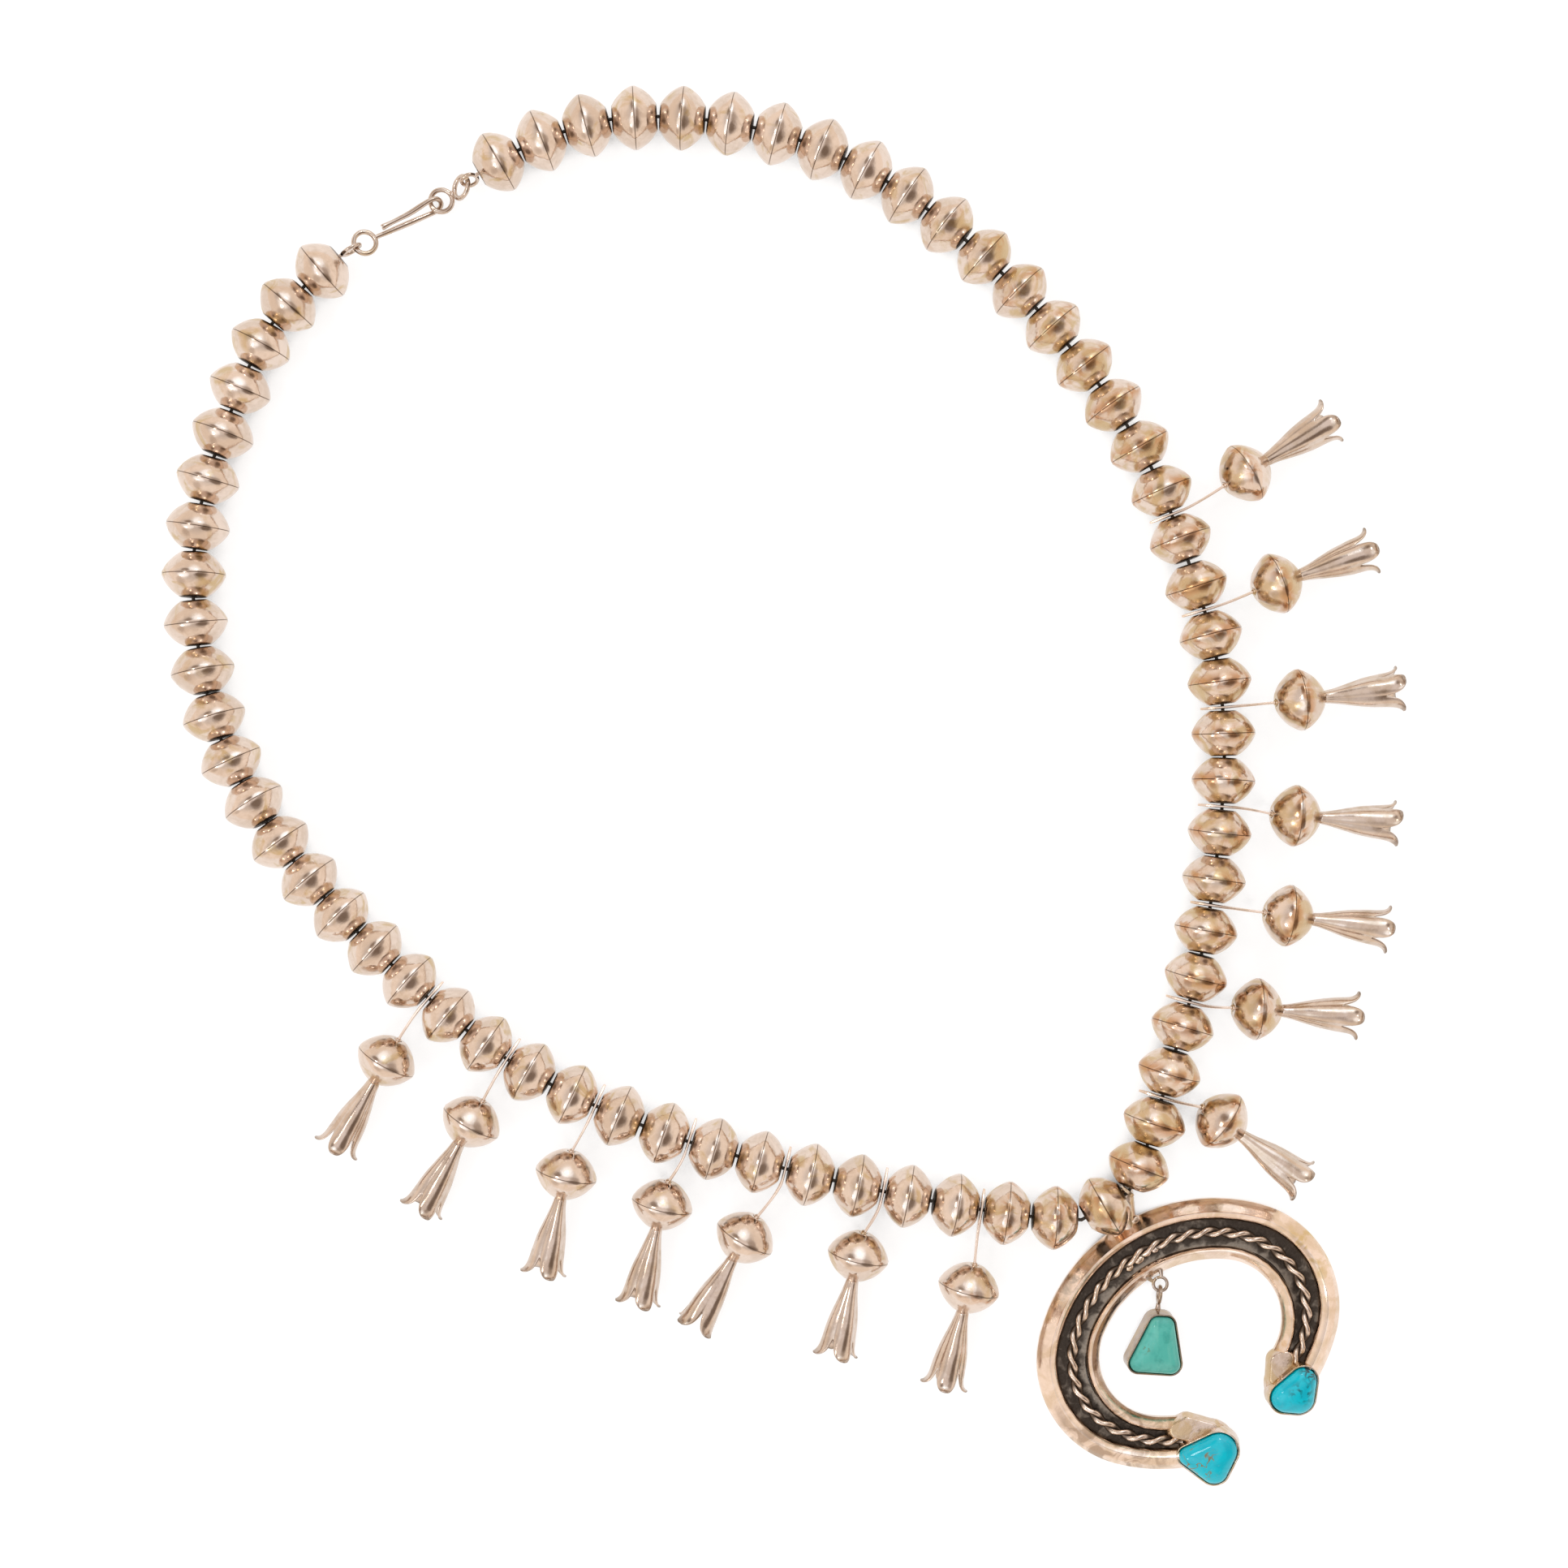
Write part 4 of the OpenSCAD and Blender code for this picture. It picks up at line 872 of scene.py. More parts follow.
def modelled_shank(row, end, end_z):
    """A flat strip on edge from inside the loop to the blossom's bead."""
    size = values("beads")
    axis_z = size.bead_width / 2
    out, tail = ray(radians(-row[1])), row[4] * MM
    bow = size.shank_root * out
    inner = ((1, 0.2), (0.8, 0.55), (0.45, 0.95), (0, 1.0))
    line = [(-share * tail * out, wide) for share, wide in inner]
    tip = size.shank_tip / size.shank_wide
    for k in range(9):
        u = k / 8
        point = (1 - u) ** 2 * 0.5 * bow + 2 * u * (1 - u) * bow + u * u * end
        line.append((point, 1 + (tip - 1) * min(1, 0.25 + u)))
    (here, wide), z = line[0], axis_z
    at = (here.x, here.y, axis_z)
    begin(bpy.ops.mesh.primitive_plane_add, size=1, rotation=(0, pi / 2, 0), location=at)
    bpy.ops.transform.resize(
        value=(1, size.shank_thick, wide * size.shank_wide), center_override=at,
    )
    for point, share in line[1:]:
        climb = axis_z + (end_z - axis_z) * max(0, point.x) / end.x
        step = point - here
        pull((step.x, step.y, climb - z), (1, 1, share / wide), (point.x, point.y, climb))
        here, wide, z = point, share, climb
    return plain(rounded(seal("shank"), 0.12 * MM, 2))


def solder(at, radius, squash=(0.8, 1, 1)):
    """A lump of solder: a ball, flattened and made uneven."""
    begin(
        bpy.ops.mesh.primitive_uv_sphere_add, segments=24, ring_count=14,
        radius=radius, location=at,
    )
    bpy.ops.transform.resize(value=squash, center_override=at)
    return dented(plain(seal("solder", smooth=80)), 0.25 * radius, 0.9 * radius)


class NECKLACE_OT_blossoms(bpy.types.Operator):
    """All blossoms, each with its shank, bead and four-petal flower"""

    bl_idname = "necklace.blossoms"
    bl_label = "Blossoms"

    def execute(self, context):
        size = values("beads")
        width = size.blossom_bead_width
        bead = modelled_bead("blossom_bead", width, size.blossom_bead_length)
        mark(bead, "soot", lambda p: 0.0)
        metal = silver("blossom_silver", tarnish=0.6, warm=0.3, shine=0.10)
        leaf = silver("petal_silver", tarnish=0.8, warm=0.06, shine=0.13, blotch=4 * MM, light=0.9)
        strip = silver("shank_silver", tarnish=0.3, warm=0.1, shine=0.2, light=1.15)
        brass = silver("solder_silver", tarnish=0.5, warm=0.8, shine=0.16)
        half = size.blossom_bead_length / 2
        tips_high = 4.45 * MM
        tilt = asin((width / 2 - tips_high) / (half + size.flower_length))
        axis_z = width / 2 * cos(tilt) + 0.29 * MM * sin(tilt)
        near = half - 0.3 * MM
        for side, rows in (("r", RIGHT_ROWS), ("l", LEFT_ROWS)):
            for k, row in enumerate(rows, 1):
                reach, aim, bend = row[0] * size.reach, row[1], row[2]
                back = BEADS_PER_BLOSSOM * (BLOSSOMS_A_SIDE + 1 - k)
                before = RIGHT_BEADS - 1 - back if side == "r" else RIGHT_BEADS + back
                point, heading = joint(before)
                out = shift(point.x, point.y) @ swing(heading) @ turn(90 + aim)
                lay = out @ shift(reach, 0, axis_z) @ turn(bend) @ swing(tilt, "Y")
                tip_z = axis_z - sin(tilt) * (half + size.flower_length)
                flower = modelled_flower("flower", row, tip_z)
                end = Vector((reach, 0, 0)) - near * cos(tilt) * ray(radians(bend))
                shank = modelled_shank(row, end, axis_z + near * sin(tilt))
                joints = [
                    solder((half + 0.1 * MM, 0, 0), size.solder_radius),
                    solder((-half, 0, 0), 0.8 * MM, (0.7, 0.8, 1.2)),
                ]
                blossom = joined([
                    painted(copied(bead, lay @ turn(83 * k, "X")), metal),
                    painted(moved(flower, lay @ shift(half, 0)), leaf),
                    painted(moved(shank, out), strip),
                    *(painted(moved(lump, lay), brass) for lump in joints),
                ], f"blossom_{side}{k}_dressed")
                dented(blossom, 0.14 * MM, 3.6 * MM)
                dressed(blossom, "blossom_silver", f"blossom_{side}{k}")
        bpy.data.objects.remove(bead)
        return {"FINISHED"}


def oval_arcs(half_width, half_height, side, left, right):
    """Arcs of an oval open at the bottom, right end to left: centre, radius, from, to."""
    gap = half_width - side
    big = (gap**2 + half_height**2 - side**2) / (2 * (half_height - side))
    bend = atan2(big - half_height, gap)
    low, high = (0, big - half_height), (0, half_height - big)
    return [
        (low, big, 1.5 * pi + asin(right / big), tau - bend),
        ((gap, 0), side, -bend, bend),
        (high, big, bend, pi - bend),
        ((-gap, 0), side, pi - bend, pi + bend),
        (low, big, pi + bend, 1.5 * pi - asin(left / big)),
    ]


def outer_arcs(size, left=0, right=0):
    """The crescent's outer oval, each arm shortened by a length."""
    return oval_arcs(
        size.half_width, size.half_height, size.side_radius,
        size.arm_left + left, size.arm_right + right,
    )


def swept(name, arcs, section, lower=0, step=1.5):
    """A bar whose section, as offset and height, is spun along arcs one after the other."""
    centre, radius, start, _ = arcs[0]
    middle = Vector((centre[0], centre[1] - lower, 0))
    way = ray(start)
    trace([middle + (radius + off) * way + Vector((0, 0, z)) for off, z in section], closed=True)
    for centre, radius, start, end in arcs:
        bpy.ops.mesh.spin(
            steps=max(2, round(degrees(end - start) / step)), angle=end - start,
            center=(centre[0], centre[1] - lower, 0), axis=(0, 0, -1),
        )
    return seal(name, smooth=30)


def crescent_place(size):
    """The crescent's own frame: X across it, Y to its top, back on the surface."""
    top, _ = joint(RIGHT_BEADS - 1)
    hole = swing(size.turn) @ Vector((size.bail_side, size.half_height + size.bail_rise, 0))
    return shift(top.x - hole.x, top.y - hole.y) @ swing(size.turn)


def twist_path(size):
    """The twist's centre line in the channel, as a curve."""
    across = (size.half_width - size.outer_rim + size.hollow_half_width + size.inner_rim) / 2
    along = (size.half_height - size.outer_rim + size.hollow_half_height + size.inner_rim) / 2
    start = -acos((size.arm_right + 1.5 * MM) / across)
    end = pi + acos((2.5 * MM + size.arm_left) / across)
    curve = bpy.data.curves.new("twist_path", "CURVE")
    curve.dimensions = "3D"
    curve.twist_mode = "Z_UP"
    line = curve.splines.new("POLY")
    steps = 240
    line.points.add(steps)
    places = []
    for k in range(steps + 1):
        a = start + (end - start) * k / steps
        places.append(Vector((
            across * cos(a), along * sin(a) - size.hollow_drop / 2,
            size.floor_height + 0.35 * size.twist_wire,
        )))
        line.points[k].co = (*places[-1], 1)
    total = sum((there - here).length for here, there in zip(places, places[1:]))
    return link(bpy.data.objects.new("twist_path", curve)), total


def modelled_twist(size):
    """Two wires: half a turn is modelled once, repeated along X and bent along the channel."""
    path, total = twist_path(size)
    halves = round(total / size.half_turn)
    half_turn = total / halves
    steps = 14
    wires = []
    for way in (1, -1):
        begin_ring(0, 0.52 * size.twist_wire, 14, y=0.5 * way * size.twist_wire)
        x = 0
        for _ in range(steps):
            x += half_turn / steps
            pull((half_turn / steps, 0, 0))
            bpy.ops.transform.rotate(value=pi / steps, orient_axis="X", center_override=(x, 0, 0))
        bpy.ops.object.mode_set(mode="OBJECT")
        wires.append(bpy.context.object)
    twist = joined(wires, "twist")
    modified(
        twist, "ARRAY", count=halves, use_relative_offset=False, use_constant_offset=True,
        constant_offset_displace=(half_turn, 0, 0), use_merge_vertices=True,
        merge_threshold=0.05 * MM,
    )
    modified(twist, "CURVE", object=path, deform_axis="POS_X")
    bpy.data.objects.remove(path)
    edit(twist)
    return seal("crescent_twist", smooth=60)


def hull_of(corners, grow, low, high, sides=96):
    """A block round several upright cylinders, open for edit, its top one face."""
    posts = []
    for x, y, r in corners:
        clear()
        bpy.ops.mesh.primitive_cylinder_add(
            vertices=sides, radius=r * MM + grow, depth=high - low,
            location=(x * MM, y * MM, (low + high) / 2),
        )
        posts.append(settle(bpy.context.object))
    edit(joined(posts, "block"))
    bpy.ops.mesh.convex_hull(join_triangles=True)
    bpy.ops.mesh.select_all(action="SELECT")
    bpy.ops.mesh.dissolve_limited(angle_limit=radians(0.3))
    pick(lambda middle, normal: normal.z > 0.9, "faces")


def modelled_stone(name, corners, edge, dome):
    """A cabochon: its edge pulled up, then its dome closed in ring by ring."""
    size = values("crescent")
    hull_of(corners, 0, size.stone_gap, size.stone_gap + edge)
    middle = np.mean(corners, axis=0) * MM
    share, z, fullness = 1.0, size.stone_gap + edge, 0.85
    for tilt in (8, 18, 28, 38, 48, 58, 68, 78, 86):
        here = cos(radians(tilt)) ** fullness
        top = size.stone_gap + edge + dome * sin(radians(tilt))
        pull((0, 0, top - z), (here / share, here / share, 1), (middle[0], middle[1], top))
        share, z = here, top
    return dented(seal(name, smooth=70), 0.16 * MM, 3.5 * MM)


def modelled_bezel(corners, seat, wall, place):
    """A seat with a thin wall round the stone, its lip rubbed over and uneven."""
    size = values("crescent")
    hull_of(corners, size.stone_gap + size.bezel_wall, -seat, wall)
    bpy.ops.mesh.inset(thickness=size.bezel_wall * 0.8)
    pull((0, 0, -wall + 0.05 * MM))
    bezel = rounded(seal("bezel", smooth=40), 0.13 * MM, 3, 50)
    return trimmed(moved(dented(bezel, 0.14 * MM, 1.8 * MM), place))


def trimmed(obj):
    """Cut away what a leaning piece would push below the surface."""
    edit(obj)
    bpy.ops.mesh.bisect(plane_co=(0, 0, 0), plane_no=(0, 0, -1), clear_outer=True, use_fill=True)
    bpy.ops.mesh.select_all(action="SELECT")
    bpy.ops.mesh.normals_make_consistent(inside=False)
    bpy.ops.object.mode_set(mode="OBJECT")
    return obj


def leaned(place, height, face, lean):
    """A setting that leans towards a direction of the surface."""
    return shift(place[0], place[1], height) @ turn(face) @ turn(lean, "Y") @ turn(-face)


def tip_places(size):
    """Matrix of each tip setting, from the crescent's own frame."""
    level = crescent_place(size)
    left = level @ Vector((-9.2 * MM, -22.5 * MM, 0))
    right = level @ Vector((12.1 * MM, -19.6 * MM, 0))
    return leaned(left, size.tip_seat, -125, 11), leaned(right, size.tip_seat, -60, 11)


def wire_ring(name, width, wire, gap=4):
    """A ring of round wire bent round, its butt ends nearly closed."""
    radius = (width - wire) / 2
    begin(
        bpy.ops.mesh.primitive_circle_add, vertices=14, radius=wire / 2,
        location=(radius, 0, 0), rotation=(pi / 2, 0, 0),
    )
    bpy.ops.mesh.spin(steps=44, angle=radians(360 - gap), center=(0, 0, 0), axis=(0, 0, 1))
    return dented(seal(name, smooth=60), 0.1 * wire, 1.2 * wire)


def bent_wire(name, points):
    """A wire through the points, each with its own radius, as a mesh."""
    curve = bpy.data.curves.new(name, "CURVE")
    curve.dimensions = "3D"
    curve.bevel_depth = 1.0
    curve.bevel_resolution = 3
    curve.use_fill_caps = True
    line = curve.splines.new("NURBS")
    line.points.add(len(points) - 1)
    for point, (place, radius) in zip(line.points, points):
        point.co = (*place, 1)
        point.radius = radius
    line.order_u = 3
    line.use_endpoint_u = True
    line.resolution_u = 6
    take(link(bpy.data.objects.new(name, curve)))
    bpy.ops.object.convert(target="MESH")
    edit(bpy.context.object)
    return seal(name, smooth=60)


def rim_section(width, ridge, edge, foot, inward):
    """Section of a rim with a rounded ridge, as offset from its oval and height."""
    top, soft = 0.62 * width, 0.28 * MM
    slope, climb = width - top, ridge - foot
    rows = [
        (width, 0), (width, foot), (width - 0.12 * slope, foot + 0.3 * climb),
        (width - 0.42 * slope, foot + 0.68 * climb), (top + soft, ridge - 0.5 * soft),
        (top + 0.35 * soft, ridge - 0.1 * soft), (top - 0.35 * soft, ridge - 0.12 * soft),
        (top - soft, ridge - 0.75 * soft), (0.5 * top, 0.5 * (ridge + edge) + 0.1 * MM),
        (0.12 * MM, edge + 0.05 * MM), (0, edge - 0.1 * MM), (0, 0),
    ]
    return [(-off if inward else off, z) for off, z in rows]


class NECKLACE_OT_crescent(bpy.types.Operator):
    """The crescent: rims, blackened channel, twisted wire, bail, plates, bezels and ring"""

    bl_idname = "necklace.crescent"
    bl_label = "Crescent"

    def execute(self, context):
        size = values("crescent")
        level = crescent_place(size)
        low, edge = size.floor_height, size.rim_edge
        foot = low + 0.5 * MM
        metal = silver(
            "crescent_silver", tarnish=0.6, warm=0.14, shine=0.10, scratch=0.35, light=1.15,
            stains=STAINS,
        )
        inner = oval_arcs(
            size.hollow_half_width, size.hollow_half_height, size.hollow_side_radius,
            size.arm_left - 1.6 * MM, size.arm_right - 2.0 * MM,
        )
        rims = plain(joined([
            swept("outer_rim", outer_arcs(size), rim_section(
                size.outer_rim, size.outer_ridge, edge, foot, True)),
            swept("inner_rim", inner, rim_section(
                size.inner_rim, size.inner_ridge, edge, foot, False), size.hollow_drop),
        ], "crescent_rims"))
        mark(rims, "soot", lambda p: 0.0)

        floor = swept("crescent_channel", outer_arcs(size, 3 * MM, 2 * MM), [
            (-4.0 * MM, low), (-6.6 * MM, low - 0.1 * MM), (-8.2 * MM, low + 0.05 * MM),
            (-9.6 * MM, foot), (-9.6 * MM, 0.05 * MM), (-4.0 * MM, 0.05 * MM),
        ])
        mark(floor, "worn", lambda p: max(0, (p.z - low) / (0.5 * MM)))

        twist = plain(modelled_twist(size))
        # Oxide and painted shade: the wires get darker towards the bottom, in the channel, and stay
        # bright on top.
        mark(twist, "soot", lambda p: 1.55 - (p.z - low) / (0.95 * MM))
        rubbed = silver("rubbed_silver", tarnish=0.6, warm=0.06, shine=0.12)
        for piece, material in ((rims, metal), (floor, blackened("black_oxide")), (twist, rubbed)):
            dressed(painted(moved(piece, level), material), "naja_silver", "naja")
        self.fittings(size, level, metal)
        return {"FINISHED"}

    def fittings(self, size, level, metal):
        """Bail, plates, bezels and the drop's ring."""
        brown = silver("bezel_silver", tarnish=0.9, warm=0.3, shine=0.14, scratch=1.8, light=0.95)
        dark = silver("ring_silver", tarnish=1.0, warm=0.3, shine=0.14, light=0.62)
        top, heading = joint(RIGHT_BEADS - 1)
        bar_radius, bar_back = 1.7 * MM, -0.88 * MM
        root = level @ Vector((0.5 * MM, size.half_height - 1.6 * MM, 0.9 * MM))
        way = Vector((top.x - root.x, top.y - root.y, 0))
        begin(
            bpy.ops.mesh.primitive_cylinder_add, vertices=36, radius=bar_radius, depth=way.length,
            location=(way.length / 2, 0, 0), rotation=(0, pi / 2, 0),
        )
        bpy.ops.mesh.bisect(
            plane_co=(0, 0, bar_back), plane_no=(0, 0, -1), clear_outer=True, use_fill=True
        )
        bar = rounded(seal("bar", smooth=40), 0.25 * MM, 3, 60)
        moved(bar, shift(*root) @ swing(heading_of(way)))

        tongue_high, tongue_half = 4.65, 0.4 * MM
        hull_of([(0, 0, 1.3), (0, tongue_high, 1.5)], 0, -tongue_half, tongue_half, 48)
        tongue = rounded(seal("tongue"), 0.12 * MM, 2, 60)
        stand = swing(heading) @ turn(90) @ turn(90, "X")
        foot_z = values("beads").bead_width / 2 - tongue_high * MM
        moved(tongue, shift(top.x, top.y, foot_z) @ stand)

        plates, edge, shelf = [], 0.9, 1.8
        for corners, high in PLATES:
            x, y, _ = np.mean(corners, axis=0) * MM
            hull_of(corners, 0, 0, edge * MM)
            pull((0, 0, (shelf - edge) * MM), (0.93, 0.93, 1), (x, y, shelf * MM))
            pull((0, 0, (high - shelf) * MM), (0.84, 0.84, 1), (x, y, high * MM))
            plates.append(rounded(seal("plate", smooth=75), 0.3 * MM, 3, 20))
        seat = 2.0 * MM
        bezels = [
            modelled_bezel(corners, seat, size.tip_bezel, place)
            for corners, place in zip((TIP_LEFT_CORNERS, TIP_RIGHT_CORNERS), tip_places(size))
        ]
        at = ring_middle(size)
        ring = wire_ring("ring", size.ring_width, size.ring_wire)
        wires = [moved(ring, level @ shift(*at) @ turn(90))]
        for side in (-1, 1):
            foot = at + Vector((0.9 * side * MM, 0.9 * MM, 0))
            head = at + Vector((1.9 * side * MM, 3.3 * MM, -0.3 * MM))
            leg = bent_wire("leg", [
                (foot, 0.3 * MM), ((foot + head) / 2, 0.42 * MM), (head, 0.75 * MM),
            ])
            wires.append(moved(leg, level))
        lumps = [
            moved(solder((x * MM, y * MM, z * MM), r * MM, (1, 0.7, 0.5)), level)
            for x, y, z, r in SOLDER_SPOTS
        ]
        for parts, material in (
            ([bar, tongue] + plates + bezels, brown), (wires, dark), (lumps, metal),
        ):
            for part in parts:
                painted(part, material)
        fittings = joined([bar, tongue] + wires + lumps + plates + bezels, "crescent_fittings")
        dressed(plain(fittings), "bezel_silver", "naja")


class NECKLACE_OT_stones(bpy.types.Operator):
    """The three turquoise stones"""

    bl_idname = "necklace.stones"
    bl_label = "Stones"

    def execute(self, context):
        size = values("crescent")
        paint = values("colours")
        (left, right), drop = tip_places(size), drop_place(size)
        spots = {
            "sky_veined": (left, (-1.6, -0.2, 3.4)), "edge": (right, (2.8, 3.4, 1.6)),
            "sky_spotted": (right, (1.0, 0.0, 3.6)), "green_streaked": (drop, (-2.6, -0.6, 3.5)),
        }
        at = {name: tuple(place @ (Vector(spot) * MM)) for name, (place, spot) in spots.items()}
        tip_edge, tip_dome = 1.5 * MM, 2.3 * MM
        drop_edge, drop_dome = size.drop_bezel - size.drop_floor - 0.1 * MM, 1.8 * MM
        deep_green = (0.03, 0.30, 0.25)
        for node, corners, edge, dome, place, slot, body, deep, name, marks in (
            ("tip_stone_left", TIP_LEFT_CORNERS, tip_edge, tip_dome, left, "sky_turquoise",
             paint.sky, paint.deep, "sky_veined", veined(at["sky_veined"])),
            ("tip_stone_right", TIP_RIGHT_CORNERS, tip_edge, tip_dome, right, "sky_turquoise",
             paint.sky, paint.deep, "sky_spotted", spotted(at["sky_spotted"], at["edge"])),
            ("drop_stone", DROP_CORNERS, drop_edge, drop_dome, drop, "green_turquoise",
             paint.green, deep_green, "green_streaked", streaked(at["green_streaked"])),
        ):
            stone = moved(modelled_stone(node + "_dressed", corners, edge, dome), place)
            dressed(painted(stone, polished(name, body, deep, marks)), slot, node)
        return {"FINISHED"}


def hang_heading(size):
    """The direction in which the drop hangs."""
    return size.turn - pi / 2 + size.drop_swing


def ring_middle(size):
    """Middle of the ring below the crescent's top, in the crescent's own frame."""
    y = size.hollow_half_height - size.hollow_drop - size.ring_width / 2 - 0.2 * MM
    return Vector((0.35 * MM, y, size.link_width / 2 - 0.1 * MM))


def link_middle(size):
    """Middle of the drop's link, hung in the crescent's ring, and the way it hangs."""
    inside = size.ring_width / 2 - size.ring_wire - 0.16 * MM - size.link_wire / 2
    way = ray(hang_heading(size))
    reach = inside + (size.link_width - size.link_wire) / 2
    return crescent_place(size) @ ring_middle(size) + reach * way, way


def drop_place(size):
    """Matrix of the drop's setting: it leans a little and hangs along its own direction."""
    hung, way = link_middle(size)
    middle = hung + size.drop_reach * way
    face = radians(53)
    lean = swing(-face) @ turn(13, "Y") @ swing(hang_heading(size) + pi / 2 + face)
    return shift(middle.x, middle.y, size.drop_height) @ lean


class NECKLACE_OT_drop(bpy.types.Operator):
    """The drop's bezel with its link"""

    bl_idname = "necklace.drop"
    bl_label = "Drop Setting"

    def execute(self, context):
        size = values("crescent")
        metal = silver("drop_silver", tarnish=1.0, warm=0.15, shine=0.14, scratch=0.8, light=0.62)
        wall = size.drop_bezel - size.drop_floor
        bezel = modelled_bezel(DROP_CORNERS, size.drop_floor, wall, drop_place(size))
        link_at, way = link_middle(size)
        link_at.z = size.link_width / 2 + 0.05 * MM
        ring = wire_ring("link", size.link_width, size.link_wire)
        moved(ring, shift(*link_at) @ swing(hang_heading(size)) @ turn(90, "X"))
        start = link_at + (size.link_width - size.link_wire) / 2 * way
        end = link_at + (size.drop_reach - 5.2 * MM) * way
        neck = bent_wire("neck", [
            (start, 0.42 * MM), (0.5 * (start + end), 0.5 * MM), (end, 1.15 * MM),
            (end + 1.0 * MM * way, 1.6 * MM),
        ])
        setting = plain(joined([bezel, ring, neck], "drop_setting_dressed"))
        dressed(painted(setting, metal), "bezel_silver", "drop_setting")
        return {"FINISHED"}


class NECKLACE_OT_clasp(bpy.types.Operator):
    """The hook, the catch's rings and both end loops"""

    bl_idname = "necklace.clasp"
    bl_label = "Clasp"

    def execute(self, context):
        size, beads = values("clasp"), values("beads")
        metal = silver(
            "clasp_silver", tarnish=0.8, warm=0.15, shine=0.10, blotch=5 * MM, light=0.85,
        )
        reach, axis_z = beads.bead_length / 2 + 0.3 * MM, beads.bead_width / 2
        (first, first_way), (last, last_way) = string_places()[0], string_places()[-1]
        first, last = first - reach * first_way, last + reach * last_way
        way = first - last
        span, heading = way.xy.length, heading_of(way)
        level = shift(last.x, last.y) @ swing(heading)
        left_tilt, right_tilt = size.left_slope, size.right_slope

        def place(parts, node):
            """Joins the parts at their place and stands them for a node."""
            piece = moved(plain(joined(parts, node + "_dressed")), level)
            dressed(painted(piece, metal), "clasp_silver", node)

        def end_loop(node, ring, at, away, inside):
            """A ring with a stem that bends into the end bead's hole."""
            r = size.loop_wire / 2
            place([ring, bent_wire("stem", [(at + away, r), (at, r), (at + inside, r)])], node)

        start, stop = Vector((0, 0, axis_z)), Vector((span, 0, axis_z))
        stem = Vector((size.stem, 0, 0))
        ring = wire_ring("loop", size.left_loop, size.loop_wire)
        lie = shift(*start) @ swing(left_tilt, "Y") @ shift(size.left_loop / 2, 0)
        moved(ring, lie @ turn(90, "X"))
        away = swing(heading_of(last_way) - heading) @ -stem
        end_loop("end_loop_left", ring, start, away, Vector((0.9, 0, -0.2)) * MM)

        ring = wire_ring("loop", size.right_loop, size.loop_wire, gap=20)
        lie = shift(*stop) @ swing(-right_tilt, "Y") @ swing(size.right_roll, "X")
        moved(ring, lie @ shift(-size.right_loop / 2 - size.loop_wire / 4, 0) @ turn(120))
        away = swing(heading_of(first_way) - heading) @ stem
        end_loop("end_loop_right", ring, stop, away, Vector((-0.5, 0, -0.1)) * MM)

        def out(start, reach, slope):
            """The point at a distance from another along a slope that falls to the left."""
            return Vector((start.x - reach * cos(slope), 0, start.z - reach * sin(slope)))

        r, eye_r = size.wire / 2, (size.ring_width - size.wire) / 2
        far = out(stop, size.right_loop - 0.75 * size.loop_wire - size.link_gap - r, right_tilt)
        low = out(far, 2 * eye_r, size.catch_lean)
        flat = low + Vector((-0.85 * size.wire - eye_r, 0, -0.1 * MM))
        raised = wire_ring("raised", size.ring_width, size.wire, gap=3)
        lie = shift(*far) @ swing(-size.catch_lean, "Y") @ swing(size.catch_roll, "X")
        moved(raised, lie @ shift(-eye_r, 0))
        ring = wire_ring("level", size.ring_width, size.wire, gap=3)
        moved(ring, shift(*flat) @ turn(200))
        lump = solder((flat.x + eye_r + 0.35 * MM, 0, flat.z + 0.1 * MM), 0.75 * MM)
        place([raised, ring, lump], "catch_link")

        eye = out(start, -(size.left_loop - size.loop_wire - size.link_gap - r), -left_tilt)
        roll_y, roll_z = cos(size.hook_roll), sin(size.hook_roll)
        bend_r = size.hook_span / 2
        bend = Vector((flat.x - bend_r - 0.3 * MM, -bend_r * roll_y, flat.z - bend_r * roll_z))
        slope = atan2(eye.z - bend.z, bend.x - eye.x)
        ring = wire_ring("eye", size.ring_width, size.wire, gap=2)
        moved(ring, shift(*eye) @ swing(slope, "Y") @ shift(eye_r, 0) @ turn(90))
        root = out(eye, -2 * eye_r, -slope)
        points = [
            (root, 0.9 * r), (root.lerp(bend, 0.25), 1.1 * r), (root.lerp(bend, 0.55), 1.3 * r),
            (root.lerp(bend, 0.85), 1.05 * r), (bend, r),
        ]
        for a in (-pi / 4, 0, pi / 4):
            x, y = 1.12 * bend_r * cos(a), 1.12 * bend_r * sin(a)
            points.append((Vector((bend.x + x, y * roll_y, flat.z + y * roll_z)), r))
        back = Vector((bend.x, -bend.y, 2 * flat.z - bend.z))
        tip = Vector((bend.x - size.hook_back, -0.9 * bend.y, back.z + size.hook_rise))
        middle = Vector((
            bend.x - 0.45 * size.hook_back, -0.7 * bend.y, back.z + 0.25 * size.hook_rise,
        ))
        ball = size.hook_ball / 2
        points += [
            (back, r), (back.lerp(middle, 0.5), 1.2 * r), (middle, 1.15 * r),
            (middle.lerp(tip, 0.5), 0.95 * r), (middle.lerp(tip, 0.85), r), (tip, ball),
            (tip + (tip - middle).normalized() * 0.55 * ball, 0.8 * ball),
        ]
        place([ring, bent_wire("hook_wire", points)], "hook")
        return {"FINISHED"}


def facing(azimuth, elevation):
    """A direction from its azimuth and elevation in degrees."""
    a, e = radians(azimuth), radians(elevation)
    return Vector((cos(a) * cos(e), sin(a) * cos(e), sin(e)))


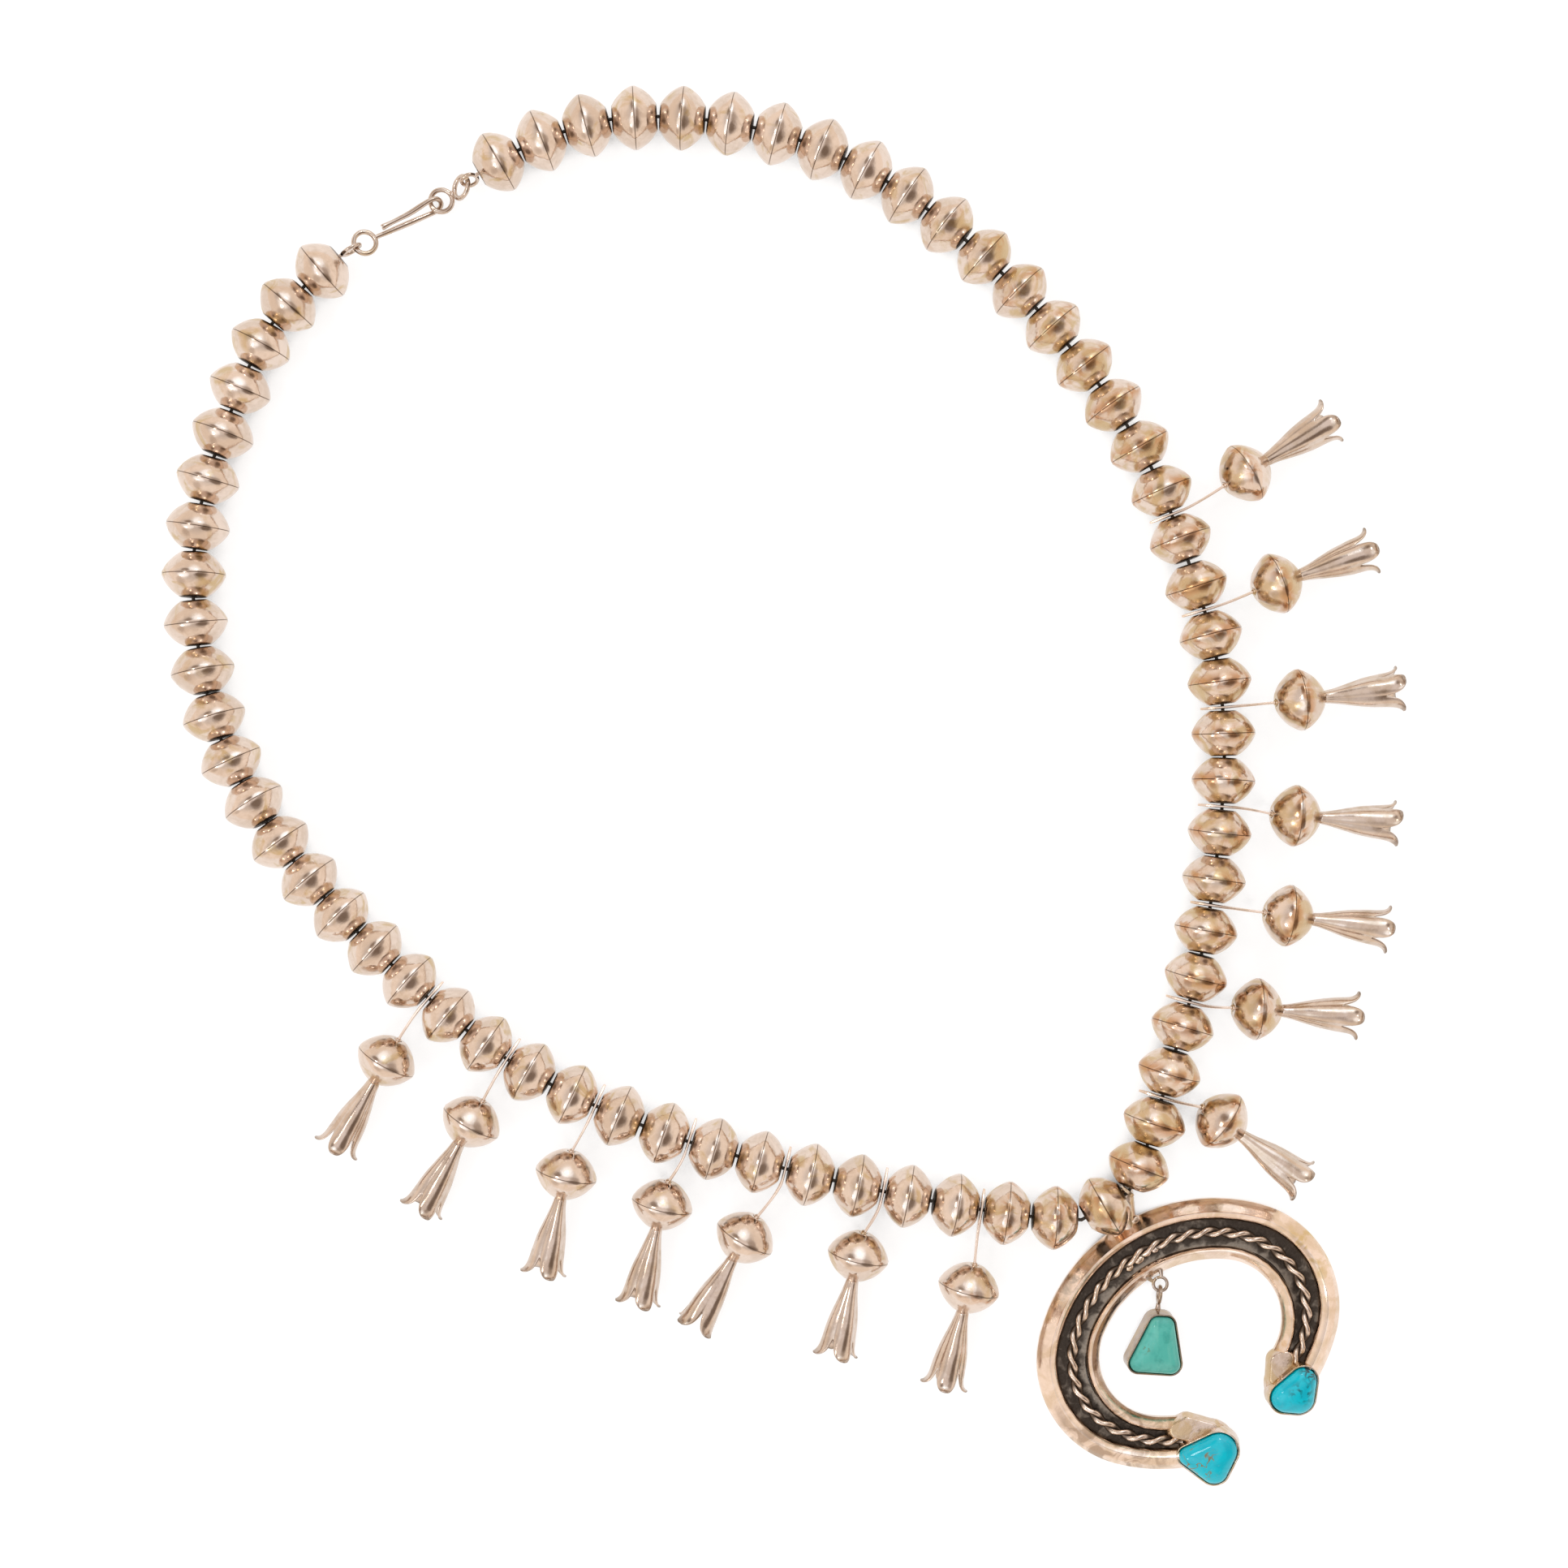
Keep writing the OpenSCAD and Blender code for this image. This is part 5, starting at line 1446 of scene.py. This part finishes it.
class NECKLACE_OT_stage(bpy.types.Operator):
    """A pale surface, soft studio light and the camera straight above"""

    bl_idname = "necklace.stage"
    bl_label = "Surface, Light and Camera"

    def execute(self, context):
        self.surface()
        self.sky()
        for name, (azimuth, elevation, wide, power) in LAMPS.items():
            way = facing(azimuth, elevation)
            data = bpy.data.lights.new(name, "AREA")
            data.shape = "RECTANGLE"
            data.size, data.size_y = wide, 0.7 * wide
            data.energy = power
            lamp = link(bpy.data.objects.new(name, data))
            lamp.location = LAMP_AWAY * way
            lamp.rotation_euler = way.to_track_quat("Z", "Y").to_euler()
        data = bpy.data.cameras.new("photo_camera")
        data.sensor_width = SENSOR_WIDTH
        data.lens = SENSOR_WIDTH * FOCAL_PIXELS / PHOTO_PIXELS
        data.clip_start, data.clip_end = 0.01, 20
        camera = link(bpy.data.objects.new("photo_camera", data))
        camera.location = Vector(CAMERA_AT) * MM
        context.scene.camera = camera
        context.scene.view_settings.view_transform = "Standard"
        return {"FINISHED"}

    def surface(self):
        """The pale surface, with a faint grain and painted shade: dark colour and a dim glow where
        ambient occlusion finds slits, such as those between beads.
        """
        clear()
        bpy.ops.mesh.primitive_plane_add(size=4, location=(0, 0, -0.02 * MM))
        floor = settle(bpy.context.object)
        floor.name = "surface"
        s = shader_of("pale_surface")
        pale = values("colours").surface
        base = s.mix(s.noise(s.place(), 1.5 * MM, 3), pale, tuple(0.985 * c for c in pale))
        # Painted shade: where ambient occlusion is high, the floor turns dark brown and its glow
        # nearly goes out.
        near = s.node("AmbientOcclusion", {"samples": 8}, {"Distance": 9 * MM}, 1)
        unshaded_floor = s.rise(near, 0.10, 0.34)
        painted(floor, s.finish({
            "Base Color": s.mix(unshaded_floor, (0.05, 0.035, 0.025), base),
            "Roughness": 0.9, "Specular IOR Level": 0.0,
            "Emission Color": s.mix(unshaded_floor, (0.03, 0.02, 0.015), (1, 1, 1)),
            "Emission Strength": 0.80,
        }))

    def sky(self):
        """A pale room with bright and brown parts for the metal to reflect."""
        world = bpy.data.worlds.new("studio")
        bpy.context.scene.world = world
        s = Shader(world)
        way = s.node("TexCoord", output=0)
        high = s.along(way, "Z")
        tone = s.mix(s.rise(high, 0.35, 0.72), (0.96, 0.87, 0.79), (0.70, 0.66, 0.64))
        tone = s.mix(s.rise(high, 0.80, 0.97), tone, (0.86, 0.82, 0.82))
        for azimuth, elevation, inside, outside, share, tint in ROOM_PARTS:
            ends = {0: way, 1: facing(azimuth, elevation)}
            aim = s.node("VectorMath", {"operation": "DOT_PRODUCT"}, ends, 1)
            glow = s.rise(aim, cos(radians(outside)), cos(radians(inside)), share)
            tone = s.mix(glow, tone, tint)
        light = s.node("Background", {}, {"Color": tone, "Strength": 1.12})
        s.node("OutputWorld", {}, {"Surface": light})


STEPS = (
    NECKLACE_OT_beads,
    NECKLACE_OT_blossoms,
    NECKLACE_OT_crescent,
    NECKLACE_OT_stones,
    NECKLACE_OT_drop,
    NECKLACE_OT_clasp,
    NECKLACE_OT_stage,
)


class NECKLACE_PT_panel(bpy.types.Panel):
    """Steps, sizes and colours of the necklace"""

    bl_idname = "NECKLACE_PT_panel"
    bl_label = "Squash Blossom Necklace"
    bl_space_type = "VIEW_3D"
    bl_region_type = "UI"
    bl_category = "Necklace"

    def draw(self, context):
        for step in STEPS:
            self.layout.operator(step.bl_idname)
        for name in GROUPS:
            group = getattr(context.scene, name)
            box = self.layout.box()
            for key in group.__annotations__:
                box.prop(group, key)


GROUPS = {
    "necklace_beads": NecklaceBeads,
    "necklace_crescent": NecklaceCrescent,
    "necklace_clasp": NecklaceClasp,
    "necklace_colours": NecklaceColours,
}


def register():
    for made in (*GROUPS.values(), *STEPS, NECKLACE_PT_panel):
        bpy.utils.register_class(made)
    for name, group in GROUPS.items():
        setattr(bpy.types.Scene, name, bpy.props.PointerProperty(type=group))


def unregister():
    for name in GROUPS:
        delattr(bpy.types.Scene, name)
    for made in reversed((*GROUPS.values(), *STEPS, NECKLACE_PT_panel)):
        bpy.utils.unregister_class(made)


def main():
    register()
    bpy.ops.necklace.beads()
    bpy.ops.necklace.blossoms()
    bpy.ops.necklace.crescent()
    bpy.ops.necklace.stones()
    bpy.ops.necklace.drop()
    bpy.ops.necklace.clasp()
    bpy.ops.necklace.stage()
    clear()


if __name__ == "__main__":
    main()
